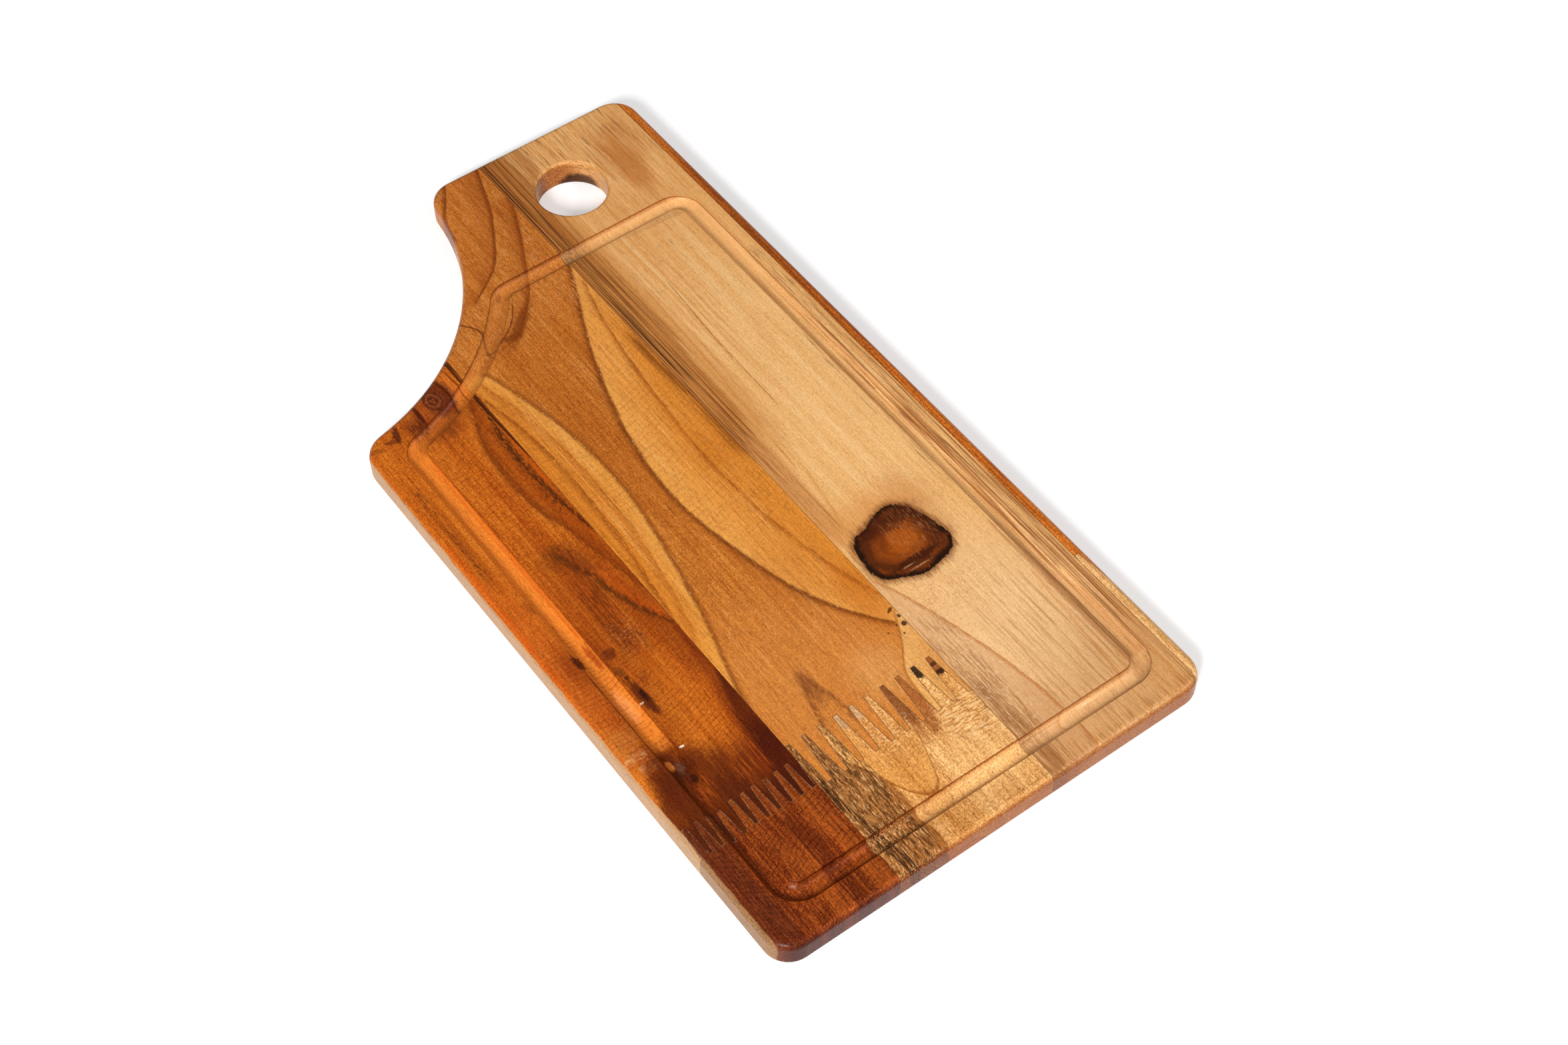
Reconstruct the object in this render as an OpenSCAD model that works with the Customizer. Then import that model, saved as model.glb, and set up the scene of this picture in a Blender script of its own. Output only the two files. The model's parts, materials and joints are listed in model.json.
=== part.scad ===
// Paddle cutting board glued up from four staves.
// Three of the staves are lengthened at the foot with a finger-jointed end piece.
// The origin is on the underside, at the middle of the panel's length and width.
// +X points to the straight long edge, +Y to the handle and +Z out of the cutting face.

/* [Panel] */
// Length from the foot edge to the top of the handle
board_l = 393; // [370:1:420]
// Thickness of the panel
board_t = 13; // [11:0.5:20]
// Radius of the round along the upper and lower edges
edge_r = 3; // [1:0.25:4]
// Radius of the two corners at the foot
foot_r = 11; // [6:0.5:14]
// Radius of the corner between the handle's top and the straight long edge
crown_r = 12; // [6:0.5:14]

/* [Staves] */
// Width of the left stave, to the middle of its glue line
left_w = 52.8; // [48:0.2:58]
// Width of the middle stave, between the middles of its glue lines
middle_w = 70.8; // [66:0.2:76]
// Width of the right stave, between the middles of its glue lines
right_w = 71.2; // [66:0.2:76]
// Width of the narrow edge stave, from the middle of its glue line
edge_w = 5.2; // [4:0.2:10]

/* [Handle] */
// Radius of the scooped notch beside the handle
notch_r = 106; // [100:0.5:112]
// Distance from the left edge out to the notch's centre
notch_out = 9.8; // [6:0.2:14]
// Distance from the top edge down to the notch's centre
notch_drop = 1; // [0:0.2:4]
// Radius of the shoulder between the notch and the left edge
shoulder_r = 12.6; // [8:0.2:16]
// Radius of the corner between the notch and the handle's top
horn_r = 11.8; // [8:0.2:16]

/* [Hanging hole] */
// Diameter of the hanging hole
hole_d = 31.2; // [24:0.2:34]
// Distance from the straight long edge to the hole's centre
hole_in = 50.7; // [46:0.1:54]
// Distance from the top edge to the hole's centre
hole_drop = 36.5; // [30:0.5:42]
// Radius of the round on both rims of the hole
rim_r = 2; // [0.5:0.25:3]

/* [Juice groove] */
// Width of the groove at the cutting face
groove_w = 8.4; // [6:0.2:10]
// Depth of the groove
groove_d = 3; // [2:0.1:4]
// Distance from the left edge to the groove's middle
groove_left_in = 16.6; // [13:0.2:20]
// Distance from the straight long edge to the groove's middle
groove_right_in = 15.4; // [13:0.2:20]
// Distance from the foot edge to the groove's middle
groove_foot_in = 16.8; // [13:0.2:20]
// Distance from the notch to the groove's middle
groove_notch_in = 16; // [13:0.2:20]
// Distance from the top edge to the groove's middle
groove_top_in = 69.6; // [66:0.2:76]
// Radius of the groove's middle around its corners
groove_bend_r = 8.5; // [6:0.5:12]

/* [Left finger joint] */
// Distance from the foot edge to the roots of the end piece's fingers
left_end_l = 49.3; // [40:0.1:60]
// Length of the fingers
left_finger_l = 13.8; // [10:0.1:20]
// Distance from one finger to the next
left_pitch = 5.1; // [4:0.1:8]
// Width of a finger's blunt tip
left_tip = 1.6; // [1:0.1:2]
// Distance from the left edge to the middle of the first finger
left_start = 2.6; // [0:0.1:4]

/* [Middle finger joint] */
// Distance from the foot edge to the roots of the end piece's fingers
middle_end_l = 48; // [40:0.1:60]
// Length of the fingers
middle_finger_l = 21.6; // [14:0.1:26]
// Distance from one finger to the next
middle_pitch = 7.3; // [5:0.1:9]
// Width of a finger's blunt tip
middle_tip = 1.9; // [1:0.1:2.4]
// Distance from the stave's left glue line to the middle of the first finger
middle_start = 1; // [0:0.1:4]

/* [Edge finger joint] */
// Distance from the foot edge to the roots of the end piece's fingers
edge_end_l = 58.9; // [45:0.1:70]
// Length of the fingers
edge_finger_l = 14; // [10:0.1:20]
// Distance from one finger to the next
edge_pitch = 7.3; // [5:0.1:9]
// Width of a finger's blunt tip
edge_tip = 1.8; // [1:0.1:2.4]
// Distance from the stave's glue line to the middle of the first finger
edge_start = 1.2; // [0:0.1:4]

/* [Glue] */
// Thickness of the cured glue between two staves
seam_t = 0.16; // [0.1:0.02:0.4]
// Thickness of the cured glue in the finger joints
finger_glue_t = 0.24; // [0.1:0.02:0.4]

/* [Hidden] */
$fn = 96;
over = 2;
groove_lift = 0.5;
round_facets = 8;
groove_facets = 14;
corner_facets = 9;
notch_facets = 26;

board_w = left_w + middle_w + right_w + edge_w;
side_x = board_w / 2;
end_y = board_l / 2;
left_seam = left_w - side_x;
right_seam = left_seam + middle_w;
edge_seam = right_seam + right_w;
notch = [-side_x - notch_out, end_y - notch_drop];
hole = [side_x - hole_in, end_y - hole_drop];

// Cutter that leaves the groove's width and depth, and its centre above the cutting face
groove_cut_r = (pow(groove_w / 2, 2) + pow(groove_d, 2)) / (2 * groove_d);
groove_rise = groove_cut_r - groove_d;

// Direction in degrees from one point to another
function aim(from, to) = atan2(to.y - from.y, to.x - from.x);

// Third side of a right triangle, from its longest side and one other
function leg(longest, other) = sqrt(longest * longest - other * other);

function backwards(points) = [for (i = [len(points) - 1 : -1 : 0]) points[i]];

// Points of an arc as [point, direction into the board]; the board is inside a corner, outside the notch
function arc(centre, r, from_a, to_a, steps, into) = [
    for (i = [0 : steps])
        let (a = from_a + (to_a - from_a) * i / steps)
        let (out = [cos(a), sin(a)])
        [centre + r * out, into * out]
];

// Closed line of the panel's shape, counterclockwise: foot, straight side, handle, notch and shoulder
function board_line(low, high, foot_r, crown_r, horn_r, notch_r, shoulder_r) =
    let (shoulder_x = low.x + shoulder_r)
    let (shoulder = [shoulder_x, notch.y - leg(notch_r + shoulder_r, shoulder_x - notch.x)])
    let (horn_y = high.y - horn_r)
    let (horn = [notch.x + leg(notch_r + horn_r, horn_y - notch.y), horn_y])
    let (inner_arc = arc(notch, notch_r, aim(notch, horn), aim(notch, shoulder), notch_facets, 1))
    concat(
        arc([low.x + foot_r, low.y + foot_r], foot_r, 180, 270, corner_facets, -1),
        arc([high.x - foot_r, low.y + foot_r], foot_r, 270, 360, corner_facets, -1),
        arc([high.x - crown_r, high.y - crown_r], crown_r, 0, 90, corner_facets, -1),
        arc(horn, horn_r, 90, aim(horn, notch), corner_facets, -1),
        [for (i = [1 : notch_facets - 1]) inner_arc[i]],
        arc(shoulder, shoulder_r, aim(shoulder, notch), 180, corner_facets, -1)
    );

rim_line = board_line([-side_x, -end_y], [side_x, end_y], foot_r, crown_r, horn_r, notch_r, shoulder_r);
groove_line = board_line(
    [groove_left_in - side_x, groove_foot_in - end_y],
    [side_x - groove_right_in, end_y - groove_top_in],
    groove_bend_r, groove_bend_r, groove_bend_r, notch_r + groove_notch_in, groove_bend_r
);

// Closed ring of a section, drawn as [distance into the board, height], carried along a closed line
module ring(line, section) {
    n = len(section);
    points = [
        for (p = line)
            for (s = section)
                [p[0].x + s.x * p[1].x, p[0].y + s.x * p[1].y, s.y]
    ];
    faces = [
        for (i = [0 : len(line) - 1])
            let (a = i * n)
            let (b = (i + 1) % len(line) * n)
            for (j = [0 : n - 1])
                let (k = (j + 1) % n)
                each [[a + j, b + k, a + k], [a + j, b + j, b + k]]
    ];
    polyhedron(points, faces);
}

// Waste outside the rounds of the upper and the lower edge
module edge_waste() {
    upper = concat(
        [[-over, board_t + over], [-over, board_t - edge_r]],
        [
            for (i = [0 : round_facets])
                let (a = 90 * i / round_facets)
                [edge_r - edge_r * cos(a), board_t - edge_r + edge_r * sin(a)]
        ],
        [[edge_r, board_t + over]]
    );
    ring(rim_line, upper);
    ring(rim_line, [for (s = backwards(upper)) [s.x, board_t - s.y]]);
}

// Waste of the round-bottomed juice groove
module groove_waste() {
    open_a = acos((groove_rise - groove_lift) / groove_cut_r);
    ring(groove_line, [
        for (i = [0 : groove_facets])
            let (a = open_a * (2 * i / groove_facets - 1))
            [groove_cut_r * sin(a), board_t + groove_rise - groove_cut_r * cos(a)]
    ]);
}

// Waste of the hanging hole, with both of its rims rounded
module hole_waste() {
    translate([hole.x, hole.y, -over])
        cylinder(d = hole_d, h = board_t + 2 * over);
    translate(hole)
        rotate_extrude()
            translate([hole_d / 2, 0])
                for (side = [0, 1])
                    translate([0, side * board_t])
                        mirror([0, side])
                            difference() {
                                translate([-over, -over]) square(rim_r + over);
                                translate([rim_r, rim_r]) circle(rim_r);
                            }
}

// Piece of the finished panel, over a shape drawn on it
module piece() {
    difference() {
        linear_extrude(board_t)
            intersection() {
                polygon([for (p = rim_line) p[0]]);
                children();
            }
        edge_waste();
        groove_waste();
        hole_waste();
    }
}

// Zigzag through a finger joint, moved by a distance out of the end piece
// A joint is [stave's left side, width, first finger, root from the foot, length, pitch, tip]
function zigzag(joint, out) =
    let (root = (joint[5] - joint[6]) / 2 + out)
    let (tip = joint[6] / 2 + out)
    let (low = joint[3] - end_y + out)
    let (high = low + joint[4])
    [
        for (count = [-1 : ceil(joint[1] / joint[5])])
            let (x = joint[0] + joint[2] + count * joint[5])
            each [[x - root, low], [x - tip, high], [x + tip, high], [x + root, low]]
    ];

left_joint = [-side_x, left_w, left_start, left_end_l, left_finger_l, left_pitch, left_tip];
middle_joint = [
    left_seam, middle_w, middle_start, middle_end_l, middle_finger_l, middle_pitch, middle_tip
];
edge_joint = [edge_seam, edge_w, edge_start, edge_end_l, edge_finger_l, edge_pitch, edge_tip];

// Shape from one side of a finger joint to a line across the panel
module up_to(line, far_y) {
    polygon(concat(line, [[line[len(line) - 1].x, far_y], [line[0].x, far_y]]));
}

module above(joint) { up_to(zigzag(joint, finger_glue_t / 2), end_y + over); }
module below(joint) { up_to(zigzag(joint, -finger_glue_t / 2), -end_y - over); }

// Shape of the glue film between the two sides of a finger joint
module between(joint) {
    polygon(concat(zigzag(joint, finger_glue_t / 2), backwards(zigzag(joint, -finger_glue_t / 2))));
}

// Full-length strip of the panel
module strip(from_x, to_x) {
    translate([from_x, -end_y - over])
        square([to_x - from_x, board_l + 2 * over]);
}

// Room that each stave takes between its glue lines
module left_room() { strip(-side_x - over, left_seam - seam_t / 2); }
module middle_room() { strip(left_seam + seam_t / 2, right_seam - seam_t / 2); }
module right_room() { strip(right_seam + seam_t / 2, edge_seam - seam_t / 2); }
module edge_room() { strip(edge_seam + seam_t / 2, side_x + over); }

module left_stave() {
    color("#a8581c")
        piece()
            intersection() {
                left_room();
                above(left_joint);
            }
}

module left_stave_end() {
    color("#7d3a16")
        piece()
            intersection() {
                left_room();
                below(left_joint);
            }
}

module middle_stave() {
    color("#c8873c")
        piece()
            intersection() {
                middle_room();
                above(middle_joint);
            }
}

module middle_stave_end() {
    color("#d9a95c")
        piece()
            intersection() {
                middle_room();
                below(middle_joint);
            }
}

module right_stave() {
    color("#d8a868")
        piece()
            right_room();
}

module edge_stave() {
    color("#a2541e")
        piece()
            intersection() {
                edge_room();
                above(edge_joint);
            }
}

module edge_stave_end() {
    color("#dcb066")
        piece()
            intersection() {
                edge_room();
                below(edge_joint);
            }
}

// Cured glue between two staves
module seam_film(seam_x) {
    color("#5e2f12")
        piece()
            strip(seam_x - seam_t / 2, seam_x + seam_t / 2);
}

module left_glue_line() { seam_film(left_seam); }
module middle_glue_line() { seam_film(right_seam); }
module edge_glue_line() { seam_film(edge_seam); }

module left_finger_glue() {
    color("#8a6a4c")
        piece()
            intersection() {
                left_room();
                between(left_joint);
            }
}

module middle_finger_glue() {
    color("#8a6a4c")
        piece()
            intersection() {
                middle_room();
                between(middle_joint);
            }
}

module edge_finger_glue() {
    color("#8a6a4c")
        piece()
            intersection() {
                edge_room();
                between(edge_joint);
            }
}

left_stave();
left_stave_end();
middle_stave();
middle_stave_end();
right_stave();
edge_stave();
edge_stave_end();
left_glue_line();
middle_glue_line();
edge_glue_line();
left_finger_glue();
middle_finger_glue();
edge_finger_glue();
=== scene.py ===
"""Looks of a paddle cutting board that is glued up from finger-jointed staves.

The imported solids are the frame. Each stave keeps the shape of its solid as one smooth skin and
gets the figure of its own wood: growth rings, knots, streaks, pores and end grain. The cured glue
between the staves, the floor, the light and the camera follow. Lengths in the finishes are
millimetres.
"""

import json
import logging
import math
from abc import ABC, abstractmethod
from dataclasses import dataclass
from enum import Enum
from typing import ClassVar

import bpy
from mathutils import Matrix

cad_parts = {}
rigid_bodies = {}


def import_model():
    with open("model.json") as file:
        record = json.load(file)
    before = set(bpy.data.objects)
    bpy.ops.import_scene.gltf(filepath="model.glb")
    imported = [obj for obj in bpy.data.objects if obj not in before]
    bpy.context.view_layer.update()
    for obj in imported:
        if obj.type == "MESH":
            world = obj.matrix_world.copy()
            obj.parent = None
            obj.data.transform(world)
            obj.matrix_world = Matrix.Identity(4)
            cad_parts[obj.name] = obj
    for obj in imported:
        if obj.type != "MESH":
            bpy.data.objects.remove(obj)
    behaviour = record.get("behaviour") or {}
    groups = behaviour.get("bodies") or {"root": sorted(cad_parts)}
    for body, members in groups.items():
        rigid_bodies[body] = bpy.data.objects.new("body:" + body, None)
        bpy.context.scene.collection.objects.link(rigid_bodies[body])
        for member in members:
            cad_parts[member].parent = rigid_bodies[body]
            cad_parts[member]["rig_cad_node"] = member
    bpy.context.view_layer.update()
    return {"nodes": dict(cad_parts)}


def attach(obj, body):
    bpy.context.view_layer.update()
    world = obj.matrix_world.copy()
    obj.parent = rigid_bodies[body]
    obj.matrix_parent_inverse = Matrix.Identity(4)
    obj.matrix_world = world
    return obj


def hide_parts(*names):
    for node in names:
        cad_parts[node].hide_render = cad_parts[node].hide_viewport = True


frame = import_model()
BODY = "root"
LOG = logging.getLogger("cutting_board")

# Millimetres in a metre, the height of the face and the span of a drawn line
TO_MM = 1000.0
FACE_Z = 13.0
REACH = 400.0

# The tone curve of a screen: where its straight foot ends, the foot's slope, the lift and the power
FOOT_END = 0.04045
FOOT_SLOPE = 12.92
CURVE_LIFT = 0.055
CURVE_POWER = 2.4

# The middle of all noise, and the steps that a seed shifts it by
NOISE_MIDDLE = 0.5
SEED_STEPS = (1.0, 1.7, 2.3)

# The mix node's sockets for tones: share, lower tone, upper tone and result
MIX_SHARE, MIX_UNDER, MIX_OVER, MIX_RESULT = 0, 6, 7, 2

Socket = bpy.types.NodeSocket
Triple = tuple[float, float, float]
Tone = Triple
Point = tuple[float, float]
Value = float | Socket


class Slot(Enum):
    """The record's material slots."""

    ORANGE = "orange_heartwood"
    RED = "red_heartwood"
    GOLDEN = "golden_heartwood"
    YELLOW = "yellow_sapwood"
    PALE = "pale_sapwood"
    BROWN = "brown_heartwood"
    STRAW = "straw_sapwood"
    DARK_GLUE = "dark_glue"
    CLEAR_GLUE = "clear_glue"


class Run(Enum):
    """The way a growth ring runs over the face: up the board or across it."""

    UP = "up"
    ACROSS = "across"


class Side(Enum):
    """The side of a growth ring that its tone fades to, towards smaller or larger places."""

    LOW = -1.0
    HIGH = 1.0


def tone(red: int, green: int, blue: int) -> Tone:
    """Turns a tone as a screen shows it into linear light.

    Args:
        red: Red from 0 to 255.
        green: Green from 0 to 255.
        blue: Blue from 0 to 255.

    Returns:
        The three linear shares.
    """
    shares = (part / 255.0 for part in (red, green, blue))
    return tuple(
        share / FOOT_SLOPE if share <= FOOT_END
        else ((share + CURVE_LIFT) / (1.0 + CURVE_LIFT)) ** CURVE_POWER
        for share in shares)


@dataclass(frozen=True)
class Grain:
    """A noise: the size of its grains along each axis, its finer layers and its own shift."""

    size: Triple
    detail: float = 2.0
    rough: float = 0.5
    seed: float = 0.0


@dataclass(frozen=True)
class Wave(Grain):
    """A noise with more layers, for fibres and for lines and edges that sway."""

    detail: float = 3.0
    rough: float = 0.6


class FinishSheet:
    """The nodes of one finish, with short calls that add a node and hand back its output."""

    def __init__(self, name: str) -> None:
        """Starts an empty material that knows its place on the board in millimetres.

        Args:
            name: The material's name.
        """
        self.material = bpy.data.materials.new(name)
        self.material.use_nodes = True
        self.nodes = self.material.node_tree.nodes
        self.links = self.material.node_tree.links
        self.nodes.clear()
        self.noises: dict[Grain, Socket] = {}
        self.waves: dict[Grain, Socket] = {}
        self.spot = self.add("ShaderNodeTexCoord").outputs["Object"]
        self.place = self.vector("MULTIPLY", self.spot, (TO_MM, TO_MM, TO_MM))
        parts = self.add("ShaderNodeSeparateXYZ")
        self.plug(parts.inputs[0], self.spot)
        self.x, self.y, self.z = (self.math("MULTIPLY", part, TO_MM) for part in parts.outputs)
        self.depth = self.math("SUBTRACT", FACE_Z, self.z)

    def add(self, kind: str, **settings: object) -> bpy.types.Node:
        """Adds a node.

        Args:
            kind: The node's type name.
            settings: Values for the node's own properties.

        Returns:
            The new node.
        """
        node = self.nodes.new(kind)
        for key, value in settings.items():
            if getattr(node, key) != value:
                setattr(node, key, value)
        return node

    def plug(self, socket: Socket, value: object) -> None:
        """Links a socket to an output, or sets its own value.

        Args:
            socket: The input to fill.
            value: An output socket, a number, a vector or a tone.
        """
        if isinstance(value, Socket):
            self.links.new(value, socket)
        elif socket.type == "RGBA":
            socket.default_value = (*value, 1.0)
        else:
            socket.default_value = value

    def math(self, operation: str, *values: Value, clamp: bool = False) -> Socket:
        """Works out one number from others.

        Args:
            operation: The math node's operation.
            values: The numbers it works on.
            clamp: Whether the result stays from 0 to 1.

        Returns:
            The result.
        """
        node = self.add("ShaderNodeMath", operation=operation, use_clamp=clamp)
        for socket, value in zip(node.inputs, values):
            self.plug(socket, value)
        return node.outputs[0]

    def times(self, *values: Value) -> Socket:
        """Multiplies several numbers.

        Args:
            values: The numbers.

        Returns:
            Their product.
        """
        product = values[0]
        for value in values[1:]:
            product = self.math("MULTIPLY", product, value)
        return product

    def vector(self, operation: str, first: object, second: object) -> Socket:
        """Works out one vector from two.

        Args:
            operation: The vector math node's operation.
            first: The first vector.
            second: The second vector.

        Returns:
            The result.
        """
        node = self.add("ShaderNodeVectorMath", operation=operation)
        self.plug(node.inputs[0], first)
        self.plug(node.inputs[1], second)
        return node.outputs[0]

    def dot(self, first: object, second: object) -> Socket:
        """Works out how far one vector reaches along another.

        Args:
            first: The first vector.
            second: The second vector.

        Returns:
            The number.
        """
        node = self.add("ShaderNodeVectorMath", operation="DOT_PRODUCT")
        self.plug(node.inputs[0], first)
        self.plug(node.inputs[1], second)
        return node.outputs["Value"]

    def fade(self, value: Value, start: float, end: float) -> Socket:
        """A soft step.

        Args:
            value: The number that is looked at.
            start: Where the step is still 0.
            end: Where the step has reached 1, above or below start.

        Returns:
            A share from 0 to 1.
        """
        node = self.add("ShaderNodeMapRange", interpolation_type="SMOOTHSTEP")
        for socket, number in zip(node.inputs, (value, start, end)):
            self.plug(socket, number)
        return node.outputs[0]

    def noise(self, grain: Grain) -> Socket:
        """Cloudy noise that is drawn out along the axes. Each noise is made once.

        Args:
            grain: The noise.

        Returns:
            A share that mostly lies between 0.3 and 0.7.
        """
        if grain not in self.noises:
            drawn = self.add("ShaderNodeMapping", vector_type="POINT")
            self.plug(drawn.inputs["Vector"], self.spot)
            self.plug(drawn.inputs["Scale"], tuple(TO_MM / part for part in grain.size))
            self.plug(drawn.inputs["Location"], tuple(step * grain.seed for step in SEED_STEPS))
            node = self.add("ShaderNodeTexNoise", noise_dimensions="3D")
            for key, value in (("Vector", drawn.outputs[0]), ("Scale", 1.0),
                               ("Detail", grain.detail), ("Roughness", grain.rough)):
                self.plug(node.inputs[key], value)
            self.noises[grain] = node.outputs[0]
        return self.noises[grain]

    def sway(self, wave: Wave, amount: float, base: Value) -> Socket:
        """Moves a number up and down by noise.

        Args:
            wave: The noise.
            amount: How far the number moves at most.
            base: The number that is moved.

        Returns:
            The moved number.
        """
        if wave not in self.waves:
            self.waves[wave] = self.math("SUBTRACT", self.noise(wave), NOISE_MIDDLE)
        return self.math("MULTIPLY_ADD", self.waves[wave], 2.0 * amount, base)

    def between(self, share: Value, span: Point) -> Socket:
        """Turns a share into a number of a span.

        Args:
            share: A share from 0 to 1.
            span: The numbers for the shares 0 and 1.

        Returns:
            The number.
        """
        return self.math("MULTIPLY_ADD", share, span[1] - span[0], span[0])

    def course(self, along: Value, points: tuple[Point, ...]) -> Socket:
        """A smooth line through a few points.

        Args:
            along: The place along the line.
            points: Pairs of the place along the line and the place across it.

        Returns:
            The line's place across.
        """
        node = self.add("ShaderNodeFloatCurve")
        spots = [(a / REACH + 0.5, b / REACH + 0.5) for a, b in sorted(points)]
        curve = node.mapping.curves[0]
        node.mapping.use_clip = False
        for spot in spots[1:-1]:
            curve.points.new(*spot)
        curve.points[0].location = spots[0]
        curve.points[len(spots) - 1].location = spots[-1]
        node.mapping.update()
        self.plug(node.inputs["Factor"], 1.0)
        self.plug(node.inputs["Value"], self.math("MULTIPLY_ADD", along, 1.0 / REACH, 0.5))
        return self.math("MULTIPLY_ADD", node.outputs[0], REACH, -REACH / 2.0)

    def blend(self, share: Value, under: object, over: object, kind: str = "MIX") -> Socket:
        """Lays one tone over another.

        Args:
            share: How much of the upper tone shows.
            under: The tone below.
            over: The tone on top.
            kind: The way they mix.

        Returns:
            The mixed tone.
        """
        node = self.add("ShaderNodeMix", data_type="RGBA", blend_type=kind)
        self.plug(node.inputs[MIX_SHARE], share)
        self.plug(node.inputs[MIX_UNDER], under)
        self.plug(node.inputs[MIX_OVER], over)
        return node.outputs[MIX_RESULT]

    def scale(self, colour: Value, factor: Value) -> Socket:
        """Makes a colour lighter or darker.

        Args:
            colour: The colour so far.
            factor: What its light is multiplied by.

        Returns:
            The changed colour.
        """
        node = self.add("ShaderNodeVectorMath", operation="SCALE")
        self.plug(node.inputs[0], colour)
        self.plug(node.inputs["Scale"], factor)
        return node.outputs[0]

    def surface(self, colour: Value, gloss: Value, relief: Value, lift: float,
                shine: float) -> None:
        """Joins the last values to the shader.

        Args:
            colour: The colour all over.
            gloss: The roughness all over.
            relief: The height of the fine relief, from 0 to 1.
            lift: How high that relief stands.
            shine: The shader's specular level.
        """
        bump = self.add("ShaderNodeBump")
        self.plug(bump.inputs["Strength"], 1.0)
        self.plug(bump.inputs["Distance"], lift / TO_MM)
        self.plug(bump.inputs["Height"], relief)
        shader = self.add("ShaderNodeBsdfPrincipled")
        for key, value in (("Base Color", colour), ("Roughness", gloss),
                           ("Normal", bump.outputs[0]), ("Specular IOR Level", shine)):
            self.plug(shader.inputs[key], value)
        self.plug(self.add("ShaderNodeOutputMaterial").inputs["Surface"], shader.outputs[0])


@dataclass(frozen=True)
class Window:
    """A part of the face with soft edges."""

    wide: Point = (-300.0, 300.0)
    long: Point = (-300.0, 300.0)
    soft: Point = (1.5, 5.0)

    def share(self, sheet: FinishSheet) -> Socket:
        """Where the window is open.

        Args:
            sheet: The finish that it is drawn on.

        Returns:
            A share from 0 to 1.
        """
        edges = []
        for place, span, soft in ((sheet.x, self.wide, self.soft[0]),
                                  (sheet.y, self.long, self.soft[1])):
            edges.append(sheet.fade(place, span[0] - soft, span[0] + soft))
            edges.append(sheet.fade(place, span[1] + soft, span[1] - soft))
        return sheet.times(*edges)


@dataclass(frozen=True)
class Mark(ABC):
    """Something that shows in the wood: its tone and how strongly it shows."""

    tint: Tone
    strength: float

    @abstractmethod
    def cover(self, sheet: FinishSheet) -> Value:
        """Where the mark shows.

        Args:
            sheet: The finish that it is drawn on.

        Returns:
            A share from 0 to 1.
        """

    def lay(self, sheet: FinishSheet, colour: Value) -> Socket:
        """Draws the mark over a colour.

        Args:
            sheet: The finish that it is drawn on.
            colour: The colour so far.

        Returns:
            The colour with the mark on it.
        """
        return sheet.blend(sheet.times(self.cover(sheet), self.strength), colour, self.tint)


@dataclass(frozen=True)
class Ring(Mark):
    """A growth ring: a line that is crisp on one side and fades out on the other."""

    LONG_WAVE: ClassVar[Wave] = Wave((6.0, 18.0, 6.0))
    FINE_WAVE: ClassVar[Wave] = Wave((1.1, 3.2, 1.1), seed=2.0)
    FINE_SHARE: ClassVar[float] = 0.7
    END_FADE: ClassVar[Point] = (5.0, 1.0)
    GAPS: ClassVar[Grain] = Grain((0.7, 2.6, 0.7), rough=0.6, seed=3.1)
    GAP_EDGE: ClassVar[Point] = (0.5, 0.7)
    WEAR: ClassVar[Grain] = Grain((4.0, 15.0, 4.0), seed=7.0)
    WEAR_EDGE: ClassVar[Point] = (0.36, 0.58)

    points: tuple[Point, ...] = ()
    crisp: float = 0.5
    fading: float = 2.5
    side: Side = Side.HIGH
    run: Run = Run.UP
    dip: float = 0.0
    waver: float = 0.8
    broken: float = 0.0
    uneven: float = 0.0

    def cover(self, sheet: FinishSheet) -> Value:
        """Where the ring shows.

        Args:
            sheet: The finish that it is drawn on.

        Returns:
            A share from 0 to 1.
        """
        up = self.run is Run.UP
        along, across = (sheet.y, sheet.x) if up else (sheet.x, sheet.y)
        places = self.points if not up else tuple((y, x) for x, y in self.points)
        off = sheet.math("SUBTRACT", across, sheet.course(along, places))
        off = sheet.sway(self.LONG_WAVE, self.waver, off)
        off = sheet.sway(self.FINE_WAVE, self.FINE_SHARE * self.waver, off)
        off = sheet.math("MULTIPLY_ADD", sheet.depth, -self.dip, off)
        off = sheet.math("MULTIPLY", off, self.side.value)
        ends = sorted(place for place, _ in places)
        out, back = self.END_FADE
        share = sheet.times(
            sheet.fade(off, -self.crisp, 0.0), sheet.fade(off, self.fading, 0.0),
            sheet.fade(along, ends[0] - out, ends[0] + back),
            sheet.fade(along, ends[-1] + out, ends[-1] - back))
        if self.broken:
            gaps = sheet.noise(self.GAPS)
            ends_of_gap = (edge - self.broken for edge in self.GAP_EDGE)
            share = sheet.times(share, sheet.fade(gaps, *ends_of_gap))
        if self.uneven:
            wear = sheet.fade(sheet.noise(self.WEAR), *self.WEAR_EDGE)
            wear = sheet.math("MULTIPLY_ADD", wear, self.uneven, 1.0 - self.uneven)
            share = sheet.times(share, wear)
        return share


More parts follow.
